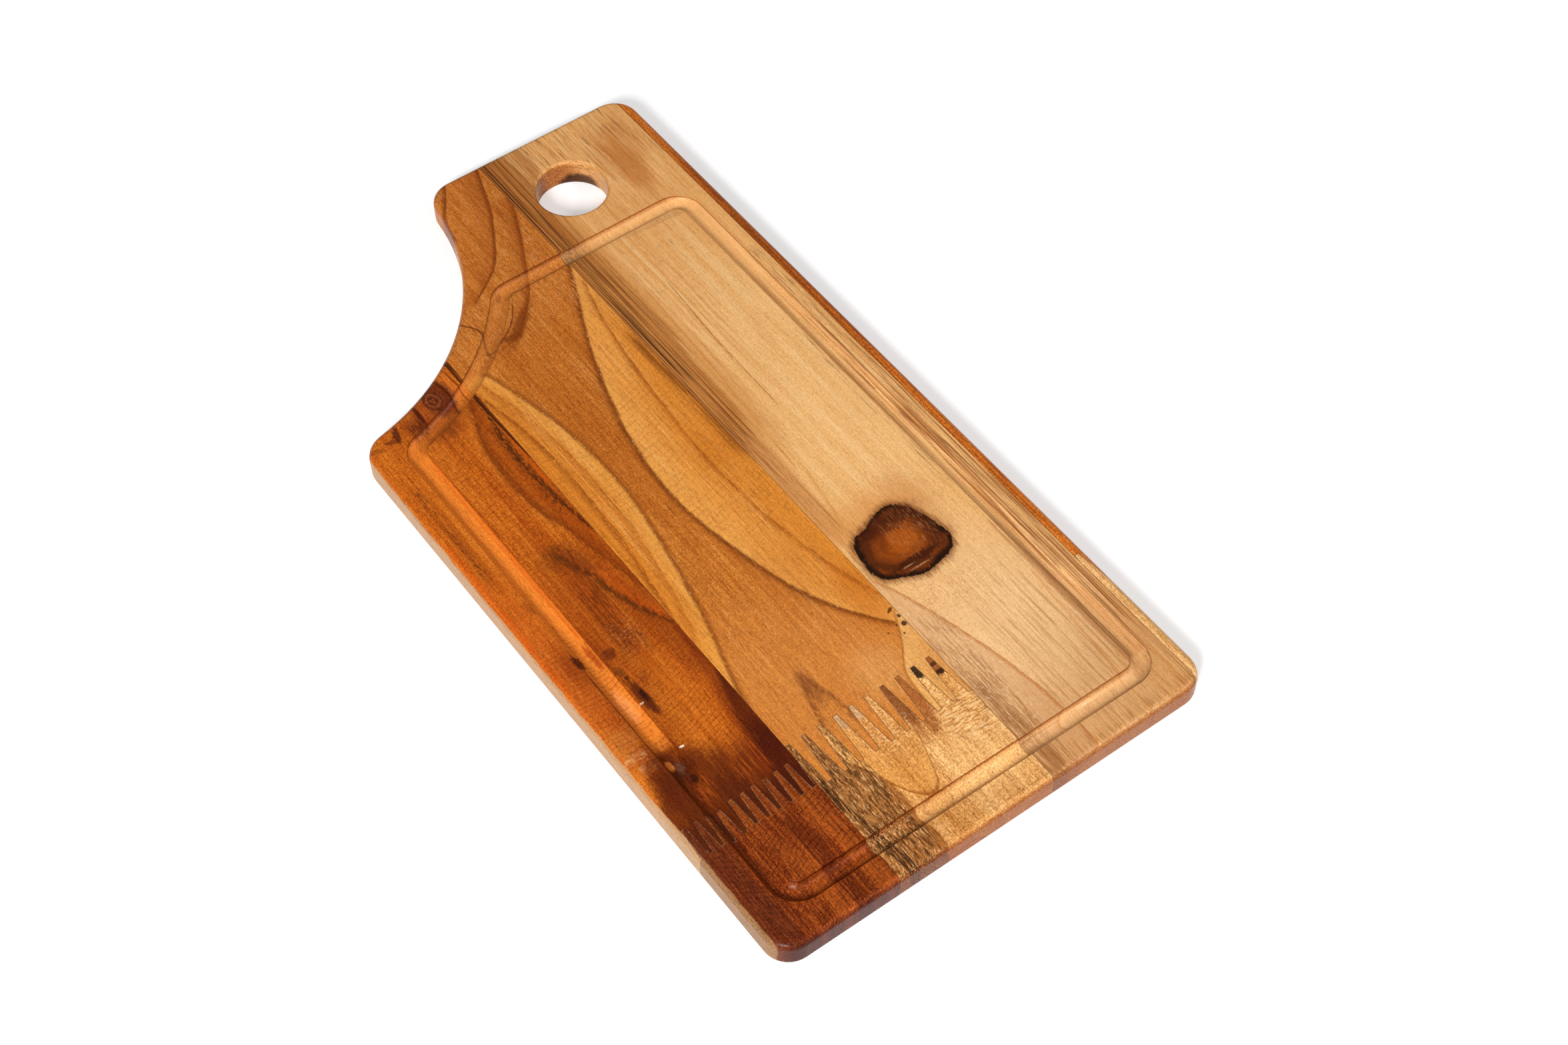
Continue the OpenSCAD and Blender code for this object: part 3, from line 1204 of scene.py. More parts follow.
ORANGE_HEARTWOOD = Wood(
    slot=Slot.ORANGE, dark=tone(164, 72, 12), mean=tone(190, 95, 21), light=tone(208, 116, 34),
    pore=tone(120, 60, 24), grit=0.38,
    marks=(
        Patch(tone(208, 114, 34), 0.25, at=(-65.0, -84.0), size=(12.0, 22.0), soft=1.2),
        Patch(tone(124, 48, 8), 0.42, at=(-84.5, -72.0), size=(16.0, 36.0), soft=1.0),
        Band(tone(116, 42, 8), 0.55, wide=(-56.0, -46.0), long=(-78.0, -30.0), soft=2.0),
        Patch(tone(146, 60, 11), 0.6, at=(-66.0, -30.0), size=(13.0, 34.0), soft=1.2),
        Patch(tone(206, 98, 32), 0.4, at=(-95.0, -48.0), size=(6.0, 50.0), soft=1.0),
        Band(tone(156, 74, 18), 0.35, wide=(-95.5, -91.0), long=(0.0, 62.0), soft=1.0),
        Streaks(tone(84, 40, 10), 0.7, wide=(-95.0, -91.6), long=(4.0, 60.0), grain=(0.5, 2.6),
                share=0.32, soft=0.6),
        Streaks(tone(206, 78, 12), 0.55, wide=(-99.0, -97.0), long=(-60.0, 25.0), grain=(0.6, 8.0),
                share=0.6, soft=0.6),
        Ring(tone(150, 60, 7), 0.65, crisp=0.8, fading=30.0, waver=0.6, points=FIRST_RING),
        Ring(tone(104, 46, 8), 0.6, crisp=2.6, fading=5.0, waver=0.8, broken=0.2,
             points=FIRST_RING),
        Streaks(tone(76, 36, 8), 0.75, wide=(-54.0, -49.5), long=(14.0, 66.0), grain=(0.5, 3.0),
                share=0.45, soft=0.7),
        Band(tone(196, 84, 10), 0.45, wide=(-49.4, -47.0), long=(30.0, 56.0), soft=0.5),
        Ring(tone(62, 28, 7), 0.85, crisp=1.4, fading=2.6, waver=0.7, broken=0.16,
             points=((-48.5, 82.0), (-50.0, 70.0), (-51.3, 58.0), (-52.2, 45.0), (-51.6, 34.0),
                     (-50.2, 22.0), (-48.8, 10.0), (-47.4, 0.0))),
        Ring(tone(52, 18, 6), 0.92, crisp=0.4, fading=3.0, waver=0.2,
             points=((-49.0, 110.0), (-48.8, 80.0), (-48.2, 62.0), (-47.5, 45.0))),
        Streaks(tone(98, 38, 7), 0.65, wide=(-71.0, -60.0), long=(-58.0, -16.0), grain=(0.9, 9.0),
                share=0.5, soft=1.4),
        Ring(tone(194, 84, 16), 0.5, crisp=0.5, fading=9.0, waver=0.8, points=STAIN_LINE),
        Ring(tone(82, 40, 9), 0.9, crisp=3.4, fading=2.4, waver=1.3, broken=0.18,
             points=STAIN_LINE),
        Patch(tone(98, 48, 11), 0.55, at=(-66.0, -4.5), size=(6.0, 6.0), rough=1.4, soft=1.3,
              grain=(0.9, 2.0)),
        Patch(tone(98, 44, 10), 0.55, at=(-60.8, -12.0), size=(4.0, 9.0), rough=1.4, soft=1.3,
              turn=20.0, grain=(0.9, 2.4)),
        # Painted highlights: short pale glints across the grain
        Streaks(tone(222, 160, 100), 0.45, wide=(-71.0, -60.0), long=(-57.0, -44.0),
                grain=(2.2, 0.6), share=0.22, soft=1.2),
        Patch(tone(94, 36, 10), 0.8, at=(-75.8, -53.8), size=(2.9, 2.5), rough=0.9, soft=0.7,
              grain=(1.3, 1.6)),
        Patch(tone(84, 32, 10), 0.9, at=(-76.2, -78.0), size=(2.1, 9.8), rough=0.6, soft=0.6,
              turn=3.0, grain=(1.3, 3.0)),
        Patch(tone(46, 16, 6), 0.85, at=(-75.9, -77.0), size=(1.0, 3.2), rough=0.9, soft=0.7,
              grain=(0.9, 1.3)),
        Patch(tone(106, 58, 16), 0.75, at=(-77.3, -63.0), size=(1.5, 2.2), rough=1.1, soft=0.7,
              grain=(0.8, 1.1)),
        Patch(tone(64, 26, 8), 0.8, at=(-76.6, -66.8), size=(0.9, 1.3), rough=0.8, soft=0.6,
              grain=(0.7, 0.9)),
        Patch(tone(132, 56, 12), 0.55, at=(-71.8, -71.0), size=(1.5, 3.0), rough=0.8, soft=0.8,
              grain=(1.0, 2.0)),
        # Painted highlight: a small whitish glint on the knot
        Patch(tone(228, 196, 164), 0.8, at=(-78.6, -79.5), size=(1.1, 0.4), rough=0.9, soft=0.6,
              grain=(0.5, 0.5)),
        Patch(tone(138, 56, 13), 0.7, at=(-86.0, -51.0), size=(8.5, 9.5), rough=0.8, soft=1.1,
              grain=(1.2, 8.0)),
        Patch(tone(146, 68, 20), 0.6, at=(-88.4, -18.0), size=(1.8, 3.4), rough=0.8, soft=0.8,
              grain=(1.0, 2.0)),
        Patch(tone(196, 116, 48), 0.55, at=(-94.5, -90.0), size=(5.5, 7.0), rough=0.6, soft=0.9),
        # Painted highlights: short pale glints across the grain in the lower left swirl
        Streaks(tone(232, 184, 130), 0.55, wide=(-99.5, -89.5), long=(-99.0, -97.0),
                grain=(2.4, 0.5), share=0.5, soft=0.4),
        Streaks(tone(226, 172, 118), 0.45, wide=(-96.0, -89.0), long=(-106.0, -102.0),
                grain=(2.4, 0.5), share=0.4, soft=0.5),
        Groove(tone(234, 134, 47), 0.78, window=LEFT_GROOVE),
        Streaks(tone(200, 78, 10), 0.5, wide=(-80.9, -79.6), long=(-40.0, 68.0), grain=(0.8, 26.0),
                share=0.66, soft=0.35),
        Band(tone(150, 42, 8), 0.7, wide=(-81.6, -79.9), long=(-56.0, -44.0), soft=0.5),
        Patch(tone(244, 152, 80), 0.75, at=(-83.2, -76.0), size=(2.4, 8.5), rough=0.3, soft=0.8),
        Ring(tone(98, 42, 12), 0.75, crisp=0.5, fading=1.6, waver=0.2, uneven=0.4,
             points=((-88.0, -58.0), (-87.8, -80.0), (-87.7, -102.0))),
        Patch(tone(64, 22, 8), 0.92, at=(-87.3, -50.0), size=(1.9, 3.6), rough=0.6, soft=0.5,
              grain=(1.2, 2.0)),
        Ring(tone(92, 31, 7), 0.88, crisp=16.0, fading=90.0, side=Side.LOW, run=Run.ACROSS,
             waver=9.0,
             points=((-101.0, -134.0), (-97.5, -123.0), (-94.0, -116.0), (-88.0, -109.0),
                     (-84.0, -107.0), (-79.0, -109.0), (-75.0, -113.5), (-70.0, -118.5),
                     (-63.0, -121.5), (-46.0, -126.0))),
        Patch(tone(78, 26, 8), 0.6, at=(-90.0, -121.0), size=(6.0, 14.0), rough=1.3, soft=1.3,
              grain=(0.9, 16.0)),
        Patch(tone(62, 22, 8), 0.75, at=(-82.0, -111.5), size=(3.6, 5.2), rough=1.3, soft=1.0,
              grain=(0.9, 3.4)),
        Patch(tone(84, 30, 8), 0.5, at=(-86.0, -103.0), size=(6.0, 2.4), rough=1.3, soft=1.2,
              grain=(0.9, 3.0)),
        Patch(tone(76, 25, 7), 0.7, at=(-75.0, -131.0), size=(9.0, 8.0), rough=1.0, soft=1.1,
              grain=(0.9, 10.0)),
        # Painted highlight: grey glints on the dark knot
        Patch(tone(128, 90, 66), 0.4, at=(-82.6, -109.6), size=(1.4, 2.6), rough=1.6, soft=0.9,
              grain=(0.5, 0.7)),
        Streaks(tone(170, 80, 24), 0.6, wide=(-85.5, -77.0), long=(-130.0, -116.0),
                grain=(0.8, 9.0), share=0.3, soft=0.8),
        Patch(tone(214, 118, 44), 0.95, at=(-85.4, -107.3), size=(1.4, 2.4), rough=0.4, soft=0.5,
              grain=(1.0, 1.6)),
        Patch(tone(40, 14, 6), 0.9, at=(-81.0, -117.0), size=(1.1, 2.0), rough=0.6, soft=0.6,
              grain=(0.8, 1.0)),
        # Painted highlight: a small whitish glint by the dark zone
        Patch(tone(240, 216, 196), 0.85, at=(-77.6, -104.0), size=(1.0, 0.5), rough=0.9, soft=0.6,
              grain=(0.5, 0.5)),
        Ring(tone(118, 42, 8), 0.7, crisp=3.5, fading=40.0, waver=0.8,
             points=((-47.3, -58.0), (-48.6, -68.0), (-50.3, -77.0), (-51.0, -87.0), (-53.0, -97.0),
                     (-54.4, -108.0), (-55.4, -117.0), (-58.0, -126.0), (-62.0, -150.0))),
        Ring(tone(70, 20, 5), 0.8, crisp=2.6, fading=26.0, waver=1.0,
             points=((-47.0, -84.0), (-49.6, -94.0), (-51.6, -102.0), (-52.7, -110.0),
                     (-53.2, -118.0), (-55.0, -127.0), (-58.0, -150.0))),
        Streaks(tone(176, 82, 22), 0.6, wide=(-70.0, -56.0), long=(-134.0, -108.0),
                grain=(0.8, 14.0), share=0.3, soft=1.2, lean=0.2),
        Patch(tone(66, 19, 5), 0.6, at=(-50.5, -121.0), size=(5.0, 11.0), rough=0.8, soft=1.0,
              grain=(0.9, 10.0)),
        Band(tone(70, 23, 7), 0.85, wide=(-98.0, -44.0), long=(-160.0, -134.0), soft=1.0),
        Hatch(tone(132, 54, 10), 0.3, pitch=2.9, slope=0.12, bow=0.004, middle=-76.0,
              window=Window((-79.0, -50.0), (-30.0, 70.0))),
        Hatch(tone(104, 38, 6), 0.36, pitch=2.2, bow=0.0075, middle=-83.0,
              window=Window((-99.0, -50.0), (-135.0, -36.0))),
        Patch(tone(124, 48, 15), 0.65, at=(-67.0, 86.0), size=(14.0, 13.0), turn=18.0, rough=0.6,
              soft=1.1),
        Streaks(tone(80, 27, 9), 0.8, wide=(-79.0, -72.5), long=(81.0, 88.0), grain=(0.8, 4.0),
                share=0.66, soft=0.8),
        Patch(tone(62, 19, 8), 0.85, at=(-71.8, 89.5), size=(1.0, 6.5), rough=0.6, soft=0.7,
              grain=(0.8, 3.0)),
        Streaks(tone(182, 88, 30), 0.65, wide=(-71.0, -67.0), long=(87.0, 97.0), grain=(0.8, 6.0),
                share=0.5, soft=0.6),
        Patch(tone(80, 30, 10), 0.85, at=(-84.6, 86.0), size=(1.5, 4.6), rough=1.0, soft=0.7,
              turn=-14.0, grain=(1.0, 2.0)),
        Patch(tone(100, 40, 12), 0.75, at=(-88.0, 84.4), size=(3.0, 1.2), rough=0.9, soft=0.8,
              turn=-14.0, grain=(1.4, 1.0)),
        Patch(tone(128, 56, 18), 0.55, at=(-95.0, 83.5), size=(4.0, 1.2), rough=0.7, soft=0.9,
              turn=-22.0, grain=(1.6, 1.0)),
        Patch(tone(96, 34, 11), 0.85, at=(-60.5, 93.5), size=(6.6, 9.0), rough=0.4, soft=0.5,
              grain=(2.0, 4.0)),
        Eye(tone(86, 33, 12), 0.75, at=(-63.2, 93.0), size=(4.0, 6.0), heart=tone(138, 72, 36),
            ringing=13.0, rough=0.4, soft=0.5, grain=(1.2, 1.6)),
        Ring(tone(66, 22, 8), 0.8, crisp=0.8, fading=1.2, side=Side.LOW, waver=0.4,
             points=((-57.0, 84.0), (-56.2, 92.0), (-57.2, 101.0))),
        Ring(tone(178, 122, 92), 0.55, crisp=0.3, fading=0.6, side=Side.LOW, waver=0.3, broken=0.1,
             points=((-55.0, 88.0), (-54.6, 93.0), (-55.2, 101.0))),
        Streaks(tone(206, 106, 36), 0.8, wide=(-54.0, -51.2), long=(90.0, 104.0), grain=(1.2, 10.0),
                share=0.8, soft=0.5),
        Ring(tone(108, 42, 12), 0.75, crisp=0.5, fading=0.8, waver=0.3,
             points=((-50.4, 88.0), (-50.8, 96.0), (-51.6, 105.0))),
        Patch(tone(124, 58, 16), 0.65, at=(-65.5, 75.0), size=(2.2, 3.4), rough=1.0, soft=0.8,
              grain=(1.0, 2.4)),
        # Dark line along the groove's edges: partly router burn, partly painted shade
        Groove(tone(110, 48, 14), 0.5, depths=RIM_BURN_AND_SHADE_DEPTHS),
        Ring(tone(186, 144, 100), 0.92, crisp=0.5, fading=40.0, side=Side.LOW, waver=0.5,
             points=((-99.7, 100.0), (-99.8, 40.0), (-99.6, -60.0), (-99.3, -110.0),
                     (-98.8, -150.0))),
    ))

RED_HEARTWOOD = Wood(
    slot=Slot.RED, dark=tone(102, 37, 9), mean=tone(128, 53, 13), light=tone(152, 72, 23),
    pore=tone(110, 56, 24), grit=0.7,
    marks=(
        Band(tone(164, 78, 24), 0.7, wide=(-72.4, -65.2), long=(-210.0, -164.0), soft=0.9,
             lean=-0.04),
        Band(tone(146, 70, 24), 0.6, wide=(-97.0, -50.0), long=(-146.0, -124.0), soft=0.8),
        Band(tone(100, 36, 8), 0.8, wide=(-65.0, -58.5), long=(-210.0, -150.0), soft=0.8,
             lean=-0.05),
        Band(tone(164, 78, 24), 0.7, wide=(-52.5, -45.5), long=(-210.0, -128.0), soft=1.2,
             lean=-0.1),
        Band(tone(98, 39, 16), 0.85, wide=(-99.0, -88.5), long=(-210.0, -120.0), soft=1.2),
        Streaks(tone(64, 21, 8), 0.6, wide=(-98.0, -84.0), long=(-210.0, -120.0), grain=(0.6, 14.0),
                share=0.42, soft=1.5),
        Streaks(tone(142, 70, 32), 0.5, wide=(-99.0, -86.0), long=(-210.0, -120.0),
                grain=(0.6, 9.0), share=0.32, soft=1.5),
        Streaks(tone(82, 28, 7), 0.45, wide=(-84.0, -47.0), long=(-210.0, -120.0),
                grain=(1.0, 30.0), share=0.36, soft=1.5),
        Streaks(tone(196, 104, 40), 0.4, wide=(-84.0, -47.0), long=(-210.0, -120.0),
                grain=(0.6, 12.0), share=0.25, soft=1.5),
        Patch(tone(92, 34, 10), 0.4, at=(-58.0, -136.0), size=(9.0, 11.0), soft=1.2, rough=0.5),
        Hatch(tone(62, 20, 5), 0.5, pitch=2.3, slope=0.4, bow=-0.004, middle=-64.0, thin=0.55,
              waver=0.7, window=Window((-86.0, -44.0), (-200.0, -142.0))),
        Hatch(tone(66, 24, 8), 0.45, pitch=2.6, slope=-0.7, middle=-90.0,
              window=Window((-99.0, -84.0), (-200.0, -140.0))),
        # Dark line along the groove's edges: partly router burn, partly painted shade
        Groove(tone(60, 22, 7), 0.5, depths=RIM_BURN_AND_SHADE_DEPTHS),
        Ring(tone(150, 110, 70), 0.92, crisp=0.5, fading=40.0, side=Side.LOW, waver=0.5,
             points=((-99.0, -130.0), (-98.7, -160.0), (-98.4, -200.0))),
    ))

LEFT_MAIN = ((-38.5, 93.0), (-34.0, 76.0), (-29.6, 56.0), (-27.0, 36.0), (-26.2, 10.0),
             (-28.0, -10.0), (-32.0, -34.0), (-37.5, -62.0), (-44.5, -88.0), (-48.0, -104.0))
RIGHT_MAIN = ((24.0, 124.0), (19.0, 112.0), (12.0, 96.0), (3.0, 74.0), (-4.5, 50.0), (-10.5, 24.0),
              (-12.8, 0.0), (-11.8, -22.0), (-7.5, -46.0), (-1.5, -70.0), (9.0, -92.0),
              (20.0, -107.0))
HANDLE_MAIN = ((-16.3, 130.5), (-10.8, 134.3), (-5.0, 138.8), (0.0, 144.7), (5.0, 153.0),
               (10.0, 162.2), (13.3, 168.8), (16.7, 178.0), (21.7, 193.0), (24.0, 200.0))
HANDLE_SECOND = ((-17.5, 101.0), (-14.2, 102.4), (-10.8, 106.3), (-5.8, 111.3), (-1.7, 116.3),
                 (2.5, 122.2), (7.5, 132.2), (10.8, 138.8), (15.0, 147.0), (18.3, 154.7),
                 (21.7, 163.0), (24.0, 170.0))
CROWN = ((21.5, -105.0), (17.0, -114.0), (12.0, -122.0), (9.0, -127.0), (7.5, -136.0),
         (7.0, -150.0))

GOLDEN_HEARTWOOD = Wood(
    slot=Slot.GOLDEN, dark=tone(172, 90, 26), mean=tone(189, 108, 37), light=tone(206, 129, 54),
    pore=tone(128, 70, 28), grit=0.35,
    marks=(
        Streaks(tone(168, 86, 24), 0.28, wide=(-46.0, 22.0), long=(-110.0, 90.0), grain=(2.2, 5.0),
                share=0.42, soft=3.0),
        Ring(tone(210, 132, 60), 0.6, crisp=60.0, fading=900.0, side=Side.LOW, run=Run.ACROSS,
             waver=4.0, points=((-60.0, -100.0), (0.0, -106.0), (60.0, -100.0))),
        Streaks(tone(222, 150, 84), 0.25, wide=(-40.0, 10.0), long=(-148.0, -60.0),
                grain=(1.0, 14.0), share=0.35, soft=3.0),
        Ring(tone(216, 130, 42), 0.85, crisp=0.3, fading=400.0, side=Side.LOW, points=LEFT_MAIN,
             waver=0.5),
        Ring(tone(230, 160, 74), 0.62, crisp=0.3, fading=13.0, side=Side.LOW, points=LEFT_MAIN,
             waver=0.5),
        Ring(tone(220, 138, 50), 0.85, crisp=0.4, fading=400.0, side=Side.HIGH, points=RIGHT_MAIN,
             waver=0.5),
        Ring(tone(232, 162, 80), 0.64, crisp=0.3, fading=24.0, side=Side.HIGH, points=RIGHT_MAIN,
             waver=0.5),
        Streaks(tone(184, 100, 24), 0.38, wide=(-47.0, -31.0), long=(-70.0, 84.0),
                grain=(1.0, 70.0), share=0.45, soft=1.5),
        Streaks(tone(244, 184, 104), 0.4, wide=(-40.0, -29.0), long=(-50.0, 70.0),
                grain=(0.7, 50.0), share=0.3, soft=1.5),
        Streaks(tone(194, 108, 28), 0.34, wide=(0.0, 24.0), long=(-90.0, 100.0), grain=(1.1, 80.0),
                share=0.45, soft=2.0),
        Streaks(tone(244, 184, 108), 0.3, wide=(-9.0, 16.0), long=(-90.0, 80.0), grain=(0.8, 50.0),
                share=0.3, soft=2.0),
        Ring(tone(196, 112, 32), 0.45, crisp=0.6, fading=40.0, run=Run.ACROSS, waver=0.3,
             points=((7.0, -3.5), (15.0, -4.5), (26.0, -5.0))),
        Ring(tone(118, 56, 13), 0.8, crisp=2.4, fading=1.4, side=Side.LOW, points=LEFT_MAIN,
             waver=0.8, broken=0.24),
        Ring(tone(168, 92, 28), 0.35, crisp=3.0, fading=0.6, side=Side.LOW, points=LEFT_MAIN,
             waver=0.7),
        Patch(tone(190, 106, 32), 0.32, at=(0.0, -64.0), size=(13.0, 20.0), soft=1.2),
        Ring(tone(236, 186, 140), 0.7, crisp=0.3, fading=0.7, side=Side.LOW, points=LEFT_MAIN,
             waver=0.7, broken=-0.06),
        Ring(tone(176, 94, 24), 0.7, crisp=0.8, fading=4.0, side=Side.LOW, waver=0.8, broken=0.22,
             uneven=0.4,
             points=((-42.5, 88.0), (-38.5, 72.0), (-35.5, 54.0), (-34.0, 36.0), (-33.6, 10.0),
                     (-35.2, -14.0), (-39.0, -40.0), (-44.5, -66.0))),
        Ring(tone(142, 70, 16), 0.85, crisp=0.8, fading=3.0, side=Side.LOW, waver=0.7, broken=0.22,
             uneven=0.3,
             points=((-47.0, 86.0), (-44.0, 72.0), (-41.5, 54.0), (-40.0, 36.0), (-40.2, 10.0),
                     (-41.5, -14.0), (-44.5, -38.0), (-47.2, -60.0))),
        Ring(tone(160, 82, 22), 0.5, crisp=0.3, fading=6.0, side=Side.LOW, points=RIGHT_MAIN,
             waver=0.7),
        Patch(tone(192, 102, 24), 0.6, at=(17.0, -88.0), size=(7.0, 16.0), soft=1.2),
        Ring(tone(114, 53, 12), 0.82, crisp=1.2, fading=3.0, side=Side.LOW, points=RIGHT_MAIN,
             waver=0.9, broken=0.24),
        Ring(tone(238, 190, 148), 0.7, crisp=0.4, fading=0.7, side=Side.HIGH, points=RIGHT_MAIN,
             waver=0.7, broken=-0.06),
        Ring(tone(158, 80, 20), 0.8, crisp=0.6, fading=2.8, side=Side.LOW, waver=0.7, broken=0.22,
             uneven=0.4,
             points=((23.5, 112.0), (18.0, 90.0), (14.0, 64.0), (11.0, 34.0), (9.2, 4.0),
                     (10.0, -24.0), (13.5, -52.0), (19.5, -80.0), (24.0, -94.0))),
        Streaks(tone(128, 70, 22), 0.82, wide=(20.0, 25.0), long=(-6.0, 72.0), grain=(1.2, 50.0),
                share=0.76, soft=1.4),
        Hatch(tone(150, 74, 16), 0.2, pitch=3.0, bow=0.006, middle=-17.0,
              window=Window((-47.0, 23.0), (-42.0, 76.0))),
        Streaks(tone(146, 66, 17), 0.36, wide=(-45.0, 22.0), long=(100.0, 210.0), grain=(0.7, 5.0),
                share=0.4, soft=2.0),
        Streaks(tone(232, 160, 88), 0.42, wide=(-45.0, 22.0), long=(100.0, 210.0), grain=(0.7, 5.0),
                share=0.36, soft=2.0),
        Ring(tone(190, 100, 30), 0.3, crisp=0.5, fading=60.0, side=Side.LOW, points=HANDLE_MAIN,
             waver=0.6),
        Ring(tone(112, 48, 10), 0.92, crisp=1.1, fading=2.4, side=Side.LOW, points=HANDLE_MAIN,
             waver=0.5, broken=0.28),
        Ring(tone(150, 72, 17), 0.45, crisp=0.5, fading=12.0, side=Side.LOW, points=HANDLE_MAIN,
             waver=0.6),
        Ring(tone(118, 52, 11), 0.92, crisp=1.1, fading=2.6, side=Side.LOW, waver=0.5, broken=0.28,
             points=HANDLE_SECOND),
        Ring(tone(154, 74, 18), 0.55, crisp=0.5, fading=11.0, side=Side.LOW, waver=0.6,
             points=HANDLE_SECOND),
        Patch(tone(126, 58, 13), 0.8, at=(-12.0, 106.5), size=(13.0, 2.6), turn=42.0, rough=0.6,
              soft=1.0, grain=(1.2, 1.8)),
        Patch(tone(126, 58, 13), 0.8, at=(-18.5, 102.4), size=(5.0, 1.8), turn=-8.0, rough=0.6,
              soft=1.0, grain=(1.2, 1.8)),
        Patch(tone(134, 66, 20), 0.7, at=(-10.4, 126.3), size=(1.1, 2.4), turn=-35.0, rough=0.6,
              soft=0.8, grain=(0.8, 1.0)),
        Ring(tone(110, 50, 13), 0.9, crisp=0.9, fading=1.4, waver=0.4, broken=0.28,
             points=((-34.0, 124.0), (-31.7, 120.5), (-28.3, 115.5), (-27.5, 112.2), (-29.6, 106.3),
                     (-30.4, 102.6))),
        Ring(tone(110, 50, 13), 0.9, crisp=0.9, fading=1.2, run=Run.ACROSS, waver=0.4, broken=0.28,
             points=((-30.4, 102.4), (-29.0, 101.8), (-27.0, 101.8), (-22.5, 103.8), (-15.0, 109.0),
                     (-9.0, 117.0))),
        Ring(tone(122, 55, 13), 0.85, crisp=1.2, fading=2.8, side=Side.LOW, waver=0.5, broken=0.28,
             points=((-7.5, 166.0), (-4.2, 178.0), (0.0, 184.7), (4.2, 192.0), (7.0, 198.0))),
        Groove(tone(212, 136, 66), 0.2),
        Patch(tone(222, 158, 90), 0.5, at=(2.0, -122.0), size=(11.0, 12.0), soft=1.2),
        Patch(tone(140, 78, 38), 0.65, at=(-24.0, -111.5), size=(2.6, 9.0), rough=1.2, soft=1.3,
              grain=(0.8, 9.0)),
        Streaks(tone(108, 56, 28), 0.75, wide=(-27.0, -21.0), long=(-117.0, -107.0),
                grain=(0.6, 8.0), share=0.42, soft=1.2),
        Ring(tone(126, 68, 32), 0.75, crisp=1.4, fading=3.0, waver=0.9, broken=0.16,
             points=((-25.0, -107.0), (-27.8, -117.0), (-30.0, -126.0), (-31.5, -140.0))),
        Ring(tone(126, 68, 32), 0.75, crisp=3.0, fading=1.4, waver=0.9, broken=0.16,
             points=((-22.6, -107.0), (-20.6, -116.0), (-19.0, -124.0), (-17.8, -134.0))),
        Ring(tone(234, 176, 102), 0.75, crisp=0.4, fading=30.0, waver=0.5, points=CROWN),
        Ring(tone(164, 88, 30), 0.8, crisp=0.8, fading=1.2, waver=0.5, points=CROWN),
        Patch(tone(48, 20, 6), 0.9, at=(22.3, -109.2), size=(1.1, 1.1), rough=0.5, soft=0.5,
              grain=(0.8, 0.8)),
        Patch(tone(48, 20, 6), 0.9, at=(22.8, -105.4), size=(0.7, 0.9), rough=0.5, soft=0.6,
              grain=(0.8, 0.8)),
        Patch(tone(70, 34, 10), 0.85, at=(21.6, -101.2), size=(1.6, 0.7), rough=0.8, soft=0.6,
              turn=30.0, grain=(0.8, 0.8)),
        Patch(tone(60, 26, 8), 0.85, at=(19.6, -113.0), size=(0.5, 0.5), rough=0.2, soft=0.6),
        Patch(tone(60, 26, 8), 0.85, at=(14.6, -109.4), size=(0.4, 0.5), rough=0.2, soft=0.6),
        Patch(tone(60, 26, 8), 0.8, at=(19.4, -108.4), size=(0.4, 0.6), rough=0.2, soft=0.6),
        # Dark line along the groove's edges: partly router burn, partly painted shade
        Groove(tone(104, 50, 15), 0.65, depths=RIM_BURN_AND_SHADE_DEPTHS),
    ))

GREY_EDGE = ((-36.5, -124.0), (-34.0, -140.0), (-32.0, -148.0), (-28.0, -156.0), (-26.0, -164.0),
             (-25.5, -174.0), (-26.0, -200.0))
TONGUE = ((-30.0, -152.0), (-26.0, -162.0), (-20.0, -172.5), (-17.0, -174.8), (-13.0, -174.6),
          (-8.0, -164.0), (-4.0, -150.0))

